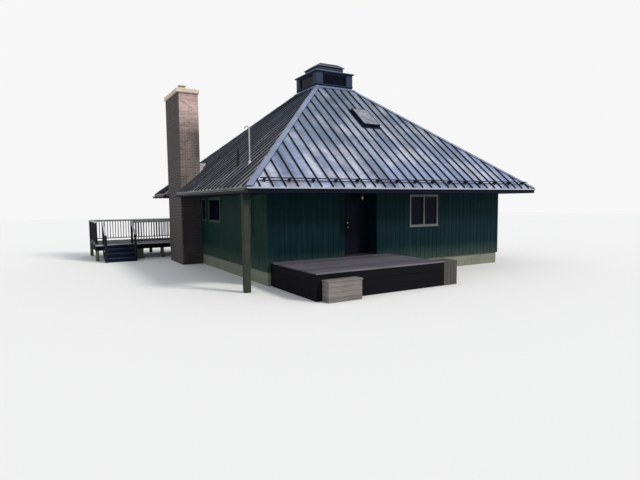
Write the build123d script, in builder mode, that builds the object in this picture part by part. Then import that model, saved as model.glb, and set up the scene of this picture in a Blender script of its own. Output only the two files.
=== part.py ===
from build123d import *
import math
import os

os.makedirs("parts", exist_ok=True)

# A square cottage under a steep metal roof, with a glazed lantern on top,
# a brick chimney on its left wall, a low deck in front and a raised deck behind.
# Sizes are in millimetres. Z is up and the front faces -Y. The roof's axis
# passes through the origin, which lies at the lowest ground that the house meets.

# Roof
eave_overhang = 1030
eave_box_height = 170
roof_pitch = 39.7
roof_thickness = 150
roof_edge_height = 40
drip_overhang = 25
fascia_thickness = 40
soffit_thickness = 15
eave_joint = 0.3
hip_cap_width = 240
hip_cap_thickness = 12
seam_panel_width = 406.4
seam_width = 32
seam_height = 44
seam_hip_gap = 175
seam_lantern_gap = 12
seam_skylight_gap = 100
seam_cricket_gap = 10

# Walls, floor and foundation
wall_half = 5270
wall_thickness = 200
siding_bottom = 440
floor_height = 760
foundation_setback = 30
foundation_thickness = 300
pier_size = 600
corner_board_width = 110
corner_board_thickness = 20

# Entry recess and front door
recess_left = -2590
recess_right = -1030
recess_depth = 475
recess_wall_thickness = 140
recess_ceiling_thickness = 60
recess_head = 39
door_width = 870
door_height = 2015
door_thickness = 45
door_gap = 7
door_sill_height = 22
frame_width = 50
door_stop_width = 12
door_stop_depth = 30
panel_rows = 3
panel_margin = 130
panel_recess = 8
knob_height = 960
knob_setback = 70
knob_radius = 28
knob_reach = 62
knob_neck_radius = 12
hinge_shares = (0.12, 0.5, 0.88)
hinge_offset = 8
hinge_height = 100
hinge_plate_width = 32
hinge_plate_thickness = 3
hinge_seat_gap = 0.3

# Windows
window_frame_width = 62
window_frame_depth = 120
window_proud = 16
glass_thickness = 8
front_window_center = 1185
front_window_width = 1400
front_window_height = 1170
front_window_head_drop = 50
wide_window_center = -120
narrow_window_center = 1290
wide_window_width = 1480
narrow_window_width = 620
side_window_height = 960
side_window_head_drop = 60
right_window_offset = 2200
back_window_center = 2300
patio_door_center = -1900
patio_door_width = 1800

# Lantern
lantern_half = 907
lantern_wall = 110
lantern_height = 650
lantern_sill_height = 130
lantern_head_height = 70
lantern_post_width = 300
lantern_curb_drop = 260
skirt_overhang = 75
skirt_edge = 45
skirt_rise = 60
tier_half = 620
tier_height = 210
cap_overhang = 45
cap_edge = 30
cap_top_half = 450
cap_rise = 150

# Chimney
chimney_depth = 860
chimney_front = 1700
chimney_back = 3900
chimney_top = 7300
chimney_cap_height = 150
chimney_cap_reach = 50
chimney_joint = 12
flue_wall_distance = 530
flue_setback = 500
flue_size = 230
flue_wall = 25
flue_height = 130
flue_foot = 120
flue_cap_size = 330
flue_cap_height = 60
flue_cap_taper = 30
flue_leg_size = 30
flue_leg_height = 60
cricket_rise = 520

# Fittings on the roof
skylight_x = 190
skylight_y = -2850
skylight_width = 780
skylight_length = 1180
skylight_height = 130
skylight_wall = 50
skylight_glass_inset = 20
mast_wall_distance = 60
mast_y = -4150
mast_rise = 1145
mast_bottom = 1500
mast_radius = 24
mast_hook_radius = 75
vent_wall_distance = 20
vent_y = -2950
vent_radius = 45
vent_height = 520
rail_run = 170
rail_low = 68
rail_high = 165
rail_radius = 17
rail_end_gap = 430
rail_bracket_reach = 7
rail_bracket_thickness = 8
rail_bracket_length = 130
gutter_width = 115
gutter_height = 92
gutter_sheet = 4
gutter_drop = 32

# Front deck
deck_side_gap = 10
deck_right = -600
deck_depth = 2880
deck_board_thickness = 38
deck_overhang = 25
skirt_board_thickness = 30
step_inset = 170
step_width = 1100
step_going = 360
step_top = 580
deck_box_width = 550
deck_box_length = 550

# Corner post
post_size = 190
post_side_inset = 120
post_front_inset = 470
post_cap_size = 230
post_cap_height = 190

# Rear deck, its rail and its stair
rear_deck_reach = 3930
rear_deck_right = 2600
rear_deck_depth = 3000
rear_rim_height = 240
rear_rim_thickness = 45
rear_post_size = 140
rear_post_bays = 4
rear_pier_size = 320
rear_pier_distance = 1990
rail_height = 1030
rail_post_size = 95
rail_bar_size = 45
rail_cap_width = 120
rail_bottom_gap = 90
baluster_size = 32
baluster_pitch = 130
stair_inset = 300
stair_width = 1350
stair_risers = 4
stair_going = 280
tread_thickness = 45
stringer_thickness = 45
stringer_height = 250

# Porch lamp
lamp_x = -1480
lamp_width = 130
lamp_drop = 240

# What follows from those sizes
slope = math.tan(math.radians(roof_pitch))
normal_y = -math.sin(math.radians(roof_pitch))
normal_z = math.cos(math.radians(roof_pitch))
roof_drop = roof_thickness / normal_z
eave_half = wall_half + eave_overhang
wall_inner = wall_half - wall_thickness
foundation_half = wall_half - foundation_setback
fascia_outer = eave_half - drip_overhang
fascia_inner = fascia_outer - fascia_thickness
recess_back = -wall_half + recess_depth
recess_inner = recess_back + recess_wall_thickness
door_right = recess_right - frame_width - door_gap
door_left = door_right - door_width
door_frame_left = door_left - door_gap - frame_width
door_bottom = floor_height + door_sill_height + door_gap
door_top = door_bottom + door_height
frame_top = door_top + door_gap + frame_width
recess_ceiling = frame_top + recess_head
soffit_height = recess_ceiling
eave_height = soffit_height + eave_box_height
front_window_sill = soffit_height - front_window_head_drop - front_window_height
side_window_sill = soffit_height - side_window_head_drop - side_window_height
patio_door_height = frame_top - floor_height
quarter_turns = {"front": 0, "left": -90, "back": 180, "right": 90}


def roof_top(distance):
    # Height of the roof's upper face at this distance from the axis.
    return eave_height + (eave_half - distance) * slope


def roof_underside(distance):
    return roof_top(distance) - roof_drop


def save(piece, label):
    piece.part.label = label
    export_step(piece.part, f"parts/{label}.step")


def block(low, high):
    # A plain box between two corners.
    with BuildPart() as piece:
        with BuildSketch(Plane.XY.offset(low[2])):
            with Locations(((low[0] + high[0]) / 2, (low[1] + high[1]) / 2)):
                Rectangle(high[0] - low[0], high[1] - low[1])
        extrude(amount=high[2] - low[2])
    return piece.part


def square_tower(sections):
    # A solid of square sections, each a half width and a height, with straight sides between.
    with BuildPart() as tower:
        for half, height in sections:
            with BuildSketch(Plane.XY.offset(height)):
                Rectangle(2 * half, 2 * half)
        loft(ruled=True)
    return tower.part


def hip_bar(outline, turn, end_gap=0.0):
    # A bar along one side of the house, with this outline in Y and Z for the front,
    # cut at both ends on the lines of the hips and turned to its side.
    with BuildPart() as bar:
        with BuildSketch(Plane.YZ):
            with BuildLine():
                Polyline(*outline, close=True)
            make_face()
        extrude(amount=2 * eave_half, both=True)
        split(bisect_by=Plane(origin=(-end_gap, 0, 0), z_dir=(1, 1, 0)), keep=Keep.BOTTOM)
        split(bisect_by=Plane(origin=(end_gap, 0, 0), z_dir=(-1, 1, 0)), keep=Keep.BOTTOM)
    return bar.part.rotate(Axis.Z, turn)


def window_frame(width, height, bars):
    # A frame that faces -Y, with its outer face on the XZ plane and its sill's middle at the origin.
    with BuildPart() as frame:
        with BuildSketch(Plane.XZ):
            with Locations((0, height / 2)):
                Rectangle(width, height)
            pane = (width - (bars + 1) * window_frame_width) / bars
            for number in range(bars):
                middle = -width / 2 + window_frame_width + pane / 2 + number * (pane + window_frame_width)
                with Locations((middle, height / 2)):
                    Rectangle(pane, height - 2 * window_frame_width, mode=Mode.SUBTRACT)
        extrude(amount=-window_frame_depth)
    return frame.part


def window_panes(width, height, bars):
    pane = (width - (bars + 1) * window_frame_width) / bars
    with BuildPart() as panes:
        for number in range(bars):
            middle = -width / 2 + window_frame_width + pane / 2 + number * (pane + window_frame_width)
            with Locations((middle, window_frame_depth / 2, height / 2)):
                Box(pane, glass_thickness, height - 2 * window_frame_width)
    return panes.part


def on_wall(shape, side, along, sill):
    # Sets a window made for the front on the wall of one side, at this place along it
    # as seen from outside, left to right.
    placed = shape.moved(Location((along, -wall_half - window_proud, sill)))
    return placed.rotate(Axis.Z, quarter_turns[side])


# Windows: side, middle along the wall from the left, sill, width, height and number of panes.
windows = [
    ("front", front_window_center, front_window_sill, front_window_width, front_window_height, 2),
    ("left", -wide_window_center, side_window_sill, wide_window_width, side_window_height, 1),
    ("left", -narrow_window_center, side_window_sill, narrow_window_width, side_window_height, 1),
    ("right", -right_window_offset, front_window_sill, front_window_width, front_window_height, 2),
    ("right", right_window_offset, front_window_sill, front_window_width, front_window_height, 2),
    ("back", -back_window_center, front_window_sill, front_window_width, front_window_height, 2),
    ("back", -patio_door_center, floor_height, patio_door_width, patio_door_height, 2),
]


def window_hole(window):
    side, along, sill, width, height, bars = window
    low = (along - width / 2, -wall_half - window_proud, sill)
    high = (along + width / 2, -wall_inner + window_proud, sill + height)
    return block(low, high).rotate(Axis.Z, quarter_turns[side])


wall_outline = [
    (-wall_half, siding_bottom),
    (-wall_inner, siding_bottom),
    (-wall_inner, roof_underside(wall_inner)),
    (-wall_half, roof_underside(wall_half)),
]

# Foundation: a ring of block wall under the siding, and a pier under the middle of the floor.
with BuildPart() as foundation:
    with BuildSketch():
        Rectangle(2 * foundation_half, 2 * foundation_half)
        inner_size = 2 * (foundation_half - foundation_thickness)
        Rectangle(inner_size, inner_size, mode=Mode.SUBTRACT)
        Rectangle(pier_size, pier_size)
    extrude(amount=siding_bottom)
save(foundation, "foundation")

# Floor, with a tongue that fills the entry recess out to the front wall's face.
with BuildPart() as floor:
    with BuildSketch(Plane.XY.offset(siding_bottom)):
        Rectangle(2 * wall_inner, 2 * wall_inner)
        with Locations(((recess_left + recess_right) / 2, -wall_half + wall_thickness / 2)):
            Rectangle(recess_right - recess_left, wall_thickness)
    extrude(amount=floor_height - siding_bottom)
save(floor, "floor")

# Front wall, beside and over the entry recess.
with BuildPart() as front_wall_left:
    add(hip_bar(wall_outline, 0))
    split(bisect_by=Plane(origin=(recess_left, 0, 0), z_dir=(1, 0, 0)), keep=Keep.BOTTOM)
save(front_wall_left, "front_wall_left")

with BuildPart() as front_wall_right:
    add(hip_bar(wall_outline, 0))
    split(bisect_by=Plane(origin=(recess_right, 0, 0), z_dir=(1, 0, 0)), keep=Keep.TOP)
    add(window_hole(windows[0]), mode=Mode.SUBTRACT)
save(front_wall_right, "front_wall_right")

with BuildPart() as front_wall_over_entry:
    with BuildSketch(Plane.YZ.offset(recess_left)):
        with BuildLine():
            Polyline(
                (-wall_half, recess_ceiling),
                (recess_inner, recess_ceiling),
                (recess_inner, recess_ceiling + recess_ceiling_thickness),
                (-wall_inner, recess_ceiling + recess_ceiling_thickness),
                (-wall_inner, roof_underside(wall_inner)),
                (-wall_half, roof_underside(wall_half)),
                close=True,
            )
        make_face()
    extrude(amount=recess_right - recess_left)
save(front_wall_over_entry, "front_wall_over_entry")

# The other three walls, whole.
for side in ("left", "back", "right"):
    with BuildPart() as wall:
        add(hip_bar(wall_outline, quarter_turns[side]))
        for window in windows:
            if window[0] == side:
                add(window_hole(window), mode=Mode.SUBTRACT)
    save(wall, f"{side}_wall")

# Side walls of the entry recess, behind the front wall.
with BuildPart() as entry_returns:
    low = (recess_left - recess_wall_thickness, -wall_inner, floor_height)
    add(block(low, (recess_left, recess_inner, recess_ceiling)))
    high = (recess_right + recess_wall_thickness, recess_inner, recess_ceiling)
    add(block((recess_right, -wall_inner, floor_height), high))
save(entry_returns, "entry_returns")

# Wall at the back of the recess, beside and over the door.
with BuildPart() as entry_wall_side:
    low = (recess_left, recess_back, floor_height)
    add(block(low, (door_frame_left, recess_inner, recess_ceiling)))
save(entry_wall_side, "entry_wall_side")

with BuildPart() as entry_wall_over:
    low = (door_frame_left, recess_back, frame_top)
    add(block(low, (recess_right, recess_inner, recess_ceiling)))
save(entry_wall_over, "entry_wall_over")

# Door frame with its sill and the stop that the door closes on.
door_outer_face = recess_inner - door_thickness
stop_inner_face = door_outer_face - door_gap
with BuildPart() as door_frame:
    low = (door_frame_left, recess_back, floor_height)
    add(block(low, (recess_right, recess_inner, frame_top)))
    low = (door_left - door_gap, recess_back, floor_height + door_sill_height)
    high = (door_right + door_gap, recess_inner, door_top + door_gap)
    add(block(low, high), mode=Mode.SUBTRACT)
    low = (door_left - door_gap, stop_inner_face - door_stop_depth, floor_height + door_sill_height)
    high = (door_right + door_gap, stop_inner_face, door_top + door_gap)
    add(block(low, high))
    inset = door_stop_width + door_gap
    low = (door_left + inset, stop_inner_face - door_stop_depth, floor_height + door_sill_height)
    high = (door_right - inset, stop_inner_face, door_top - inset)
    add(block(low, high), mode=Mode.SUBTRACT)
save(door_frame, "door_frame")

# Front door, with three recessed panels on each face.
with BuildPart() as front_door:
    add(block((door_left, door_outer_face, door_bottom), (door_right, recess_inner, door_top)))
    panel_height = (door_height - (panel_rows + 1) * panel_margin) / panel_rows
    panel_width = door_width - 2 * panel_margin
    for row in range(panel_rows):
        panel_middle = door_bottom + panel_margin + panel_height / 2 + row * (panel_height + panel_margin)
        for face in (door_outer_face, recess_inner):
            with Locations(((door_left + door_right) / 2, face, panel_middle)):
                Box(panel_width, 2 * panel_recess, panel_height, mode=Mode.SUBTRACT)
save(front_door, "front_door")

# A round knob on each face of the door.
knob_x = door_left + knob_setback
with BuildPart() as door_knobs:
    for face, way in ((door_outer_face, -1), (recess_inner, 1)):
        with BuildSketch(Plane(origin=(knob_x, face, floor_height + knob_height), z_dir=(0, way, 0))):
            Circle(knob_neck_radius)
        extrude(amount=knob_reach - knob_radius)
        with Locations((knob_x, face + way * (knob_reach - knob_radius), floor_height + knob_height)):
            Sphere(knob_radius)
save(door_knobs, "door_knobs")

# Door hinges: a barrel on the turning axis, and a plate on the frame beside it.
hinge_x = door_right + door_gap / 2
hinge_y = recess_inner + hinge_offset
barrel_radius = math.hypot(door_gap / 2, hinge_offset) - hinge_seat_gap
with BuildPart() as door_hinges:
    for share in hinge_shares:
        foot = door_bottom + share * door_height - hinge_height / 2
        with BuildSketch(Plane.XY.offset(foot)):
            with Locations((hinge_x, hinge_y)):
                Circle(barrel_radius)
        extrude(amount=hinge_height)
        low = (door_right + door_gap, recess_inner, foot)
        plate_right = low[0] + hinge_plate_width
        add(block(low, (plate_right, recess_inner + hinge_plate_thickness, foot + hinge_height)))
save(door_hinges, "door_hinges")

# Corner boards over the outer corners of the siding.
with BuildPart() as corner_boards:
    outer = wall_half + corner_board_thickness
    inner = outer - corner_board_width
    for x_way, y_way in ((1, 1), (1, -1), (-1, 1), (-1, -1)):
        with BuildSketch(Plane.XY.offset(siding_bottom)):
            with BuildLine():
                Polyline(
                    (x_way * outer, y_way * outer),
                    (x_way * inner, y_way * outer),
                    (x_way * inner, y_way * wall_half),
                    (x_way * wall_half, y_way * wall_half),
                    (x_way * wall_half, y_way * inner),
                    (x_way * outer, y_way * inner),
                    close=True,
                )
            make_face()
        extrude(amount=soffit_height - siding_bottom)
save(corner_boards, "corner_boards")

# Window frames of all four walls.
with BuildPart() as window_frames:
    for side, along, sill, width, height, bars in windows:
        add(on_wall(window_frame(width, height, bars), side, along, sill))
save(window_frames, "window_frames")

# Where the service mast and the vent pipe pass the roof.
mast_x = -wall_half - mast_wall_distance
mast_top = roof_top(-mast_x) + mast_rise
vent_x = -wall_half - vent_wall_distance

# Boxed eaves: a fascia board and the soffit behind it, on each side.
chimney_outer = -wall_half - chimney_depth
notch_low = (-eave_half - gutter_width, chimney_front - chimney_joint, 0)
notch_high = (-wall_half, chimney_back + chimney_joint, chimney_top)
fascia_top = roof_top(fascia_outer) - roof_edge_height
eave_outline = [
    (-fascia_outer, soffit_height),
    (-wall_half, soffit_height),
    (-wall_half, soffit_height + soffit_thickness),
    (-fascia_inner, soffit_height + soffit_thickness),
    (-fascia_inner, fascia_top),
    (-fascia_outer, fascia_top),
]
with BuildPart() as eaves:
    for turn in quarter_turns.values():
        add(hip_bar(eave_outline, turn, eave_joint))
    add(block(notch_low, notch_high), mode=Mode.SUBTRACT)
    with Locations((mast_x, mast_y, soffit_height)):
        Cylinder(mast_radius, 4 * soffit_thickness, mode=Mode.SUBTRACT)
save(eaves, "eaves")

# Roof slopes. Each ends on the fascia below and against the lantern's curb above.
roof_outline = [
    (-eave_half, eave_height),
    (-lantern_half, roof_top(lantern_half)),
    (-lantern_half, roof_underside(lantern_half)),
    (-fascia_inner, roof_underside(fascia_inner)),
    (-fascia_inner, roof_top(fascia_inner) - roof_edge_height),
    (-eave_half, eave_height - roof_edge_height),
]
skylight_plane = Plane(
    origin=(skylight_x, skylight_y, roof_top(-skylight_y)),
    x_dir=(1, 0, 0),
    z_dir=(0, normal_y, normal_z),
)
for side, turn in quarter_turns.items():
    with BuildPart() as roof:
        add(hip_bar(roof_outline, turn))
        if side == "front":
            with BuildSketch(skylight_plane):
                Rectangle(skylight_width - 2 * skylight_wall, skylight_length - 2 * skylight_wall)
            extrude(amount=2 * roof_thickness, both=True, mode=Mode.SUBTRACT)
        if side == "left":
            add(block(notch_low, notch_high), mode=Mode.SUBTRACT)
            for x, y, radius in ((mast_x, mast_y, mast_radius), (vent_x, vent_y, vent_radius)):
                with Locations((x, y, roof_top(-x))):
                    Cylinder(radius, 4 * roof_drop, mode=Mode.SUBTRACT)
    save(roof, f"roof_{side}")

# Hip caps: a folded strip along each hip.
cap_layer = [
    (-eave_half, eave_height),
    (-lantern_half, roof_top(lantern_half)),
    (-lantern_half, roof_top(lantern_half) + hip_cap_thickness),
    (-eave_half, eave_height + hip_cap_thickness),
]
with BuildPart() as hip_cap:
    add(hip_bar(cap_layer, quarter_turns["front"]))
    add(hip_bar(cap_layer, quarter_turns["left"]))
    with BuildSketch():
        with Locations((-eave_half / 2, -eave_half / 2)):
            Rectangle(2 * eave_half, hip_cap_width, rotation=45)
    extrude(amount=2 * roof_top(0), mode=Mode.INTERSECT)
with BuildPart() as hip_caps:
    for turn in quarter_turns.values():
        add(hip_cap.part.rotate(Axis.Z, turn))
save(hip_caps, "hip_caps")


def seam_rib(x, start, end):
    # An upright rib of sheet at this X on the front slope, between two distances from the axis.
    rise = seam_height / normal_z
    with BuildPart() as rib:
        with BuildSketch(Plane.YZ.offset(x - seam_width / 2)):
            with BuildLine():
                Polyline(
                    (-start, roof_top(start)),
                    (-end, roof_top(end)),
                    (-end, roof_top(end) + rise),
                    (-start, roof_top(start) + rise),
                    close=True,
                )
            make_face()
        extrude(amount=seam_width)
    return rib.part


def seam_runs(side, x):
    # Where the rib at this X runs: up from the eave, round the skylight, or from the cricket on.
    top = max(lantern_half + seam_lantern_gap, abs(x) + seam_width / 2 + seam_hip_gap)
    if side == "front" and abs(x - skylight_x) < skylight_width / 2 + seam_skylight_gap:
        reach = (skylight_length / 2 + seam_skylight_gap) * normal_z
        return [(eave_half, reach - skylight_y), (-skylight_y - reach, top)]
    if side == "left" and chimney_front < -x < chimney_back:
        chimney_middle = (chimney_front + chimney_back) / 2
        chimney_half = (chimney_back - chimney_front) / 2
        share = 1 - (abs(x + chimney_middle) - seam_width / 2) / chimney_half
        return [(wall_half - share * cricket_rise / slope - seam_cricket_gap, top)]
    return [(eave_half, top)]


# Standing seams: upright ribs that join the sheets of each slope.
seam_count = round(2 * eave_half / seam_panel_width) - 1
for side, turn in quarter_turns.items():
    with BuildPart() as seams:
        for number in range(seam_count):
            seam_x = (number - (seam_count - 1) / 2) * seam_panel_width
            for start, end in seam_runs(side, seam_x):
                add(seam_rib(seam_x, start, end).rotate(Axis.Z, turn))
    save(seams, f"roof_seams_{side}")

# Snow rail: two rods along the front eave, over the seams, carried by brackets between them.
rail_surface_y = -eave_half + rail_run
rail_half = eave_half - rail_end_gap
with BuildPart() as snow_rail:
    for lift in (rail_low, rail_high):
        rod_y = rail_surface_y + lift * normal_y
        rod_z = roof_top(-rail_surface_y) + lift * normal_z
        with BuildSketch(Plane(origin=(-rail_half, rod_y, rod_z), z_dir=(1, 0, 0))):
            Circle(rail_radius)
        extrude(amount=2 * rail_half)
    for number in range(-rail_bracket_reach, rail_bracket_reach + 1):
        bracket_x = number * 2 * seam_panel_width
        foot_y = rail_surface_y + rail_bracket_length
        with BuildSketch(Plane.YZ.offset(bracket_x - rail_bracket_thickness / 2)):
            with BuildLine():
                Polyline(
                    (rail_surface_y, roof_top(-rail_surface_y)),
                    (foot_y, roof_top(-foot_y)),
                    (
                        rail_surface_y + rail_high * normal_y,
                        roof_top(-rail_surface_y) + (rail_high + 2 * rail_radius) * normal_z,
                    ),
                    (
                        rail_surface_y + (rail_high + 2 * rail_radius) * normal_y,
                        roof_top(-rail_surface_y) + rail_high * normal_z,
                    ),
                    close=True,
                )
            make_face()
        extrude(amount=rail_bracket_thickness)
save(snow_rail, "snow_rail")

# Gutter along the left eave, in front of the chimney and behind it.
gutter_top = eave_height - roof_edge_height - gutter_drop
with BuildPart() as left_gutter:
    for start, end in ((-eave_half, notch_low[1]), (notch_high[1], eave_half)):
        low = (-fascia_outer - gutter_width, start, gutter_top - gutter_height)
        add(block(low, (-fascia_outer, end, gutter_top)))
        low = (low[0] + gutter_sheet, low[1] + gutter_sheet, low[2] + gutter_sheet)
        high = (-fascia_outer - gutter_sheet, end - gutter_sheet, gutter_top + gutter_sheet)
        add(block(low, high), mode=Mode.SUBTRACT)
save(left_gutter, "left_gutter")

# Lantern: a curb that the roof ends against, corner posts, a head, glass, a skirt and a cap.
roof_peak = roof_top(lantern_half)
sill_top = roof_peak + lantern_sill_height
head_top = roof_peak + lantern_height
head_bottom = head_top - lantern_head_height
lantern_inner = lantern_half - lantern_wall


def lantern_ring(bottom, top):
    with BuildPart() as ring:
        with BuildSketch(Plane.XY.offset(bottom)):
            Rectangle(2 * lantern_half, 2 * lantern_half)
            Rectangle(2 * lantern_inner, 2 * lantern_inner, mode=Mode.SUBTRACT)
        extrude(amount=top - bottom)
    return ring.part


with BuildPart() as lantern_curb:
    add(lantern_ring(roof_peak - lantern_curb_drop, sill_top))
save(lantern_curb, "lantern_curb")

with BuildPart() as lantern_posts:
    add(lantern_ring(sill_top, head_bottom))
    opening = 2 * (lantern_half - lantern_post_width)
    with Locations((0, 0, (sill_top + head_bottom) / 2)):
        Box(4 * lantern_half, opening, head_bottom - sill_top, mode=Mode.SUBTRACT)
        Box(opening, 4 * lantern_half, head_bottom - sill_top, mode=Mode.SUBTRACT)
save(lantern_posts, "lantern_posts")

with BuildPart() as lantern_head:
    add(lantern_ring(head_bottom, head_top))
save(lantern_head, "lantern_head")

skirt_top = head_top + skirt_edge + skirt_rise
with BuildPart() as lantern_skirt:
    skirt_half = lantern_half + skirt_overhang
    skirt_edge_top = head_top + skirt_edge
    add(square_tower([(skirt_half, head_top), (skirt_half, skirt_edge_top), (tier_half, skirt_top)]))
save(lantern_skirt, "lantern_skirt")

tier_top = skirt_top + tier_height
cap_half = tier_half + cap_overhang
cap_edge_top = tier_top + cap_edge
with BuildPart() as lantern_cap:
    add(square_tower([(tier_half, skirt_top), (tier_half, tier_top)]))
    cap_top = cap_edge_top + cap_rise
    add(square_tower([(cap_half, tier_top), (cap_half, cap_edge_top), (cap_top_half, cap_top)]))
save(lantern_cap, "lantern_cap")

# Chimney, from the ground up through the eave.
flue_x = -wall_half - flue_wall_distance
flue_y = chimney_front + flue_setback
with BuildPart() as chimney:
    add(block((chimney_outer, chimney_front, 0), (-wall_half, chimney_back, chimney_top)))
    with Locations((flue_x, flue_y, chimney_top)):
        Box(flue_size, flue_size, 2 * flue_foot, mode=Mode.SUBTRACT)
save(chimney, "chimney")

with BuildPart() as chimney_cap:
    cap_top = chimney_top + chimney_cap_height
    low = (chimney_outer - chimney_cap_reach, chimney_front - chimney_cap_reach, chimney_top)
    add(block(low, (-wall_half + chimney_cap_reach, chimney_back + chimney_cap_reach, cap_top)))
    with Locations((flue_x, flue_y, chimney_top)):
        Box(flue_size, flue_size, 3 * chimney_cap_height, mode=Mode.SUBTRACT)
save(chimney_cap, "chimney_cap")

# Flue liner, with a rain cap on four short legs.
flue_bottom = chimney_top - flue_foot
flue_top = chimney_top + chimney_cap_height + flue_height
with BuildPart() as flue:
    with BuildSketch(Plane.XY.offset(flue_bottom)):
        with Locations((flue_x, flue_y)):
            Rectangle(flue_size, flue_size)
            Rectangle(flue_size - 2 * flue_wall, flue_size - 2 * flue_wall, mode=Mode.SUBTRACT)
    extrude(amount=flue_top - flue_bottom)
    with BuildSketch(Plane.XY.offset(flue_top)):
        with Locations((flue_x, flue_y)):
            leg_pitch = flue_size - flue_leg_size
            with GridLocations(leg_pitch, leg_pitch, 2, 2):
                Rectangle(flue_leg_size, flue_leg_size)
    extrude(amount=flue_leg_height)
    with BuildSketch(Plane.XY.offset(flue_top + flue_leg_height)):
        with Locations((flue_x, flue_y)):
            Rectangle(flue_cap_size, flue_cap_size)
    extrude(amount=flue_cap_height, taper=flue_cap_taper)
save(flue, "flue")

# Cricket: a small ridge of sheet metal that turns water round the chimney's uphill face.
with BuildPart() as cricket:
    cricket_z = roof_top(wall_half)
    middle_y = (chimney_front + chimney_back) / 2
    with BuildSketch(Plane.YZ.offset(-wall_half)):
        with BuildLine():
            Polyline(
                (chimney_front, cricket_z),
                (chimney_back, cricket_z),
                (middle_y, cricket_z + cricket_rise),
                close=True,
            )
        make_face()
    extrude(amount=cricket_rise / slope)
    split(bisect_by=Plane(origin=(-eave_half, 0, eave_height), z_dir=(normal_y, 0, normal_z)), keep=Keep.TOP)
save(cricket, "cricket")

# Skylight: a raised curb on the front slope and its glass.
with BuildPart() as skylight_curb:
    with BuildSketch(skylight_plane):
        Rectangle(skylight_width, skylight_length)
        Rectangle(skylight_width - 2 * skylight_wall, skylight_length - 2 * skylight_wall, mode=Mode.SUBTRACT)
    extrude(amount=skylight_height)
save(skylight_curb, "skylight_curb")

# All the glass: the windows' panes, the lantern's and the skylight's.
with BuildPart() as window_glass:
    for side, along, sill, width, height, bars in windows:
        add(on_wall(window_panes(width, height, bars), side, along, sill))
    for turn in quarter_turns.values():
        middle = lantern_half - lantern_wall / 2
        low = (-opening / 2, -middle - glass_thickness / 2, sill_top)
        high = (opening / 2, -middle + glass_thickness / 2, head_bottom)
        add(block(low, high).rotate(Axis.Z, turn))
    with BuildSketch(skylight_plane.offset(skylight_height)):
        Rectangle(skylight_width - 2 * skylight_glass_inset, skylight_length - 2 * skylight_glass_inset)
    extrude(amount=glass_thickness)
save(window_glass, "window_glass")

# Service mast up the left wall and through the roof, hooked at its top.
with BuildPart() as service_mast:
    with BuildLine():
        Line((mast_x, mast_y, mast_bottom), (mast_x, mast_y, mast_top))
        hook_x = mast_x - mast_hook_radius
        hook_top = (hook_x, mast_y, mast_top + mast_hook_radius)
        ThreePointArc((mast_x, mast_y, mast_top), hook_top, (hook_x - mast_hook_radius, mast_y, mast_top))
    with BuildSketch(Plane(origin=(mast_x, mast_y, mast_bottom), z_dir=(0, 0, 1))):
        Circle(mast_radius)
    sweep()
save(service_mast, "service_mast")

with BuildPart() as vent_pipe:
    with BuildSketch(Plane.XY.offset(roof_underside(-vent_x - vent_radius))):
        with Locations((vent_x, vent_y)):
            Circle(vent_radius)
    extrude(amount=roof_drop + vent_height)
save(vent_pipe, "vent_pipe")

# Front deck: boards, a skirt on three sides, a step in front and a box at its right corner.
deck_left = -(wall_half + corner_board_thickness - corner_board_width - deck_side_gap)
deck_front = -wall_half - deck_depth
with BuildPart() as front_deck:
    low = (deck_left, deck_front, floor_height - deck_board_thickness)
    add(block(low, (deck_right, -wall_half, floor_height)))
save(front_deck, "front_deck")

with BuildPart() as deck_skirt:
    skirt_top_height = floor_height - deck_board_thickness
    low = (deck_left + deck_overhang, deck_front + deck_overhang, 0)
    add(block(low, (deck_right - deck_overhang, -foundation_half, skirt_top_height)))
    low = (low[0] + skirt_board_thickness, low[1] + skirt_board_thickness, 0)
    high = (deck_right - deck_overhang - skirt_board_thickness, -foundation_half, skirt_top_height)
    add(block(low, high), mode=Mode.SUBTRACT)
    low = (deck_left, -wall_half, siding_bottom)
    add(block(low, (deck_right, -foundation_half, floor_height)), mode=Mode.SUBTRACT)
save(deck_skirt, "deck_skirt")

with BuildPart() as deck_step:
    step_left = deck_left + step_inset
    step_back = deck_front + deck_overhang
    add(block((step_left, step_back - step_going, 0), (step_left + step_width, step_back, step_top)))
save(deck_step, "deck_step")

with BuildPart() as deck_box:
    low = (deck_right, deck_front, 0)
    add(block(low, (deck_right + deck_box_width, deck_front + deck_box_length, floor_height)))
save(deck_box, "deck_box")

# Square timber post under the front left corner of the eave.
post_x = -eave_half + post_side_inset
post_y = -eave_half + post_front_inset
with BuildPart() as corner_post:
    with BuildSketch():
        with Locations((post_x, post_y)):
            Rectangle(post_size, post_size)
    extrude(amount=soffit_height)
    with BuildSketch(Plane.XY.offset(soffit_height - post_cap_height)):
        with Locations((post_x, post_y)):
            Rectangle(post_cap_size, post_cap_size)
    extrude(amount=post_cap_height)
save(corner_post, "corner_post")

# Rear deck: boards over a rim, on posts and one thick pier.
rear_front = wall_half + corner_board_thickness
rear_back = rear_front + rear_deck_depth
rear_under = floor_height - deck_board_thickness
rear_deck_left = -wall_half - rear_deck_reach
rear_pier_x = -wall_half - rear_pier_distance
stair_left = rear_deck_left + stair_inset
stair_right = stair_left + stair_width
with BuildPart() as rear_deck:
    low = (rear_deck_left, rear_front, rear_under)
    add(block(low, (rear_deck_right, rear_back, floor_height)))
save(rear_deck, "rear_deck")

with BuildPart() as rear_deck_rim:
    low = (rear_deck_left, rear_front, rear_under - rear_rim_height)
    add(block(low, (rear_deck_right, rear_back, rear_under)))
    low = (low[0] + rear_rim_thickness, low[1] + rear_rim_thickness, low[2])
    high = (rear_deck_right - rear_rim_thickness, rear_back - rear_rim_thickness, rear_under)
    add(block(low, high), mode=Mode.SUBTRACT)
save(rear_deck_rim, "rear_deck_rim")

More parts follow.
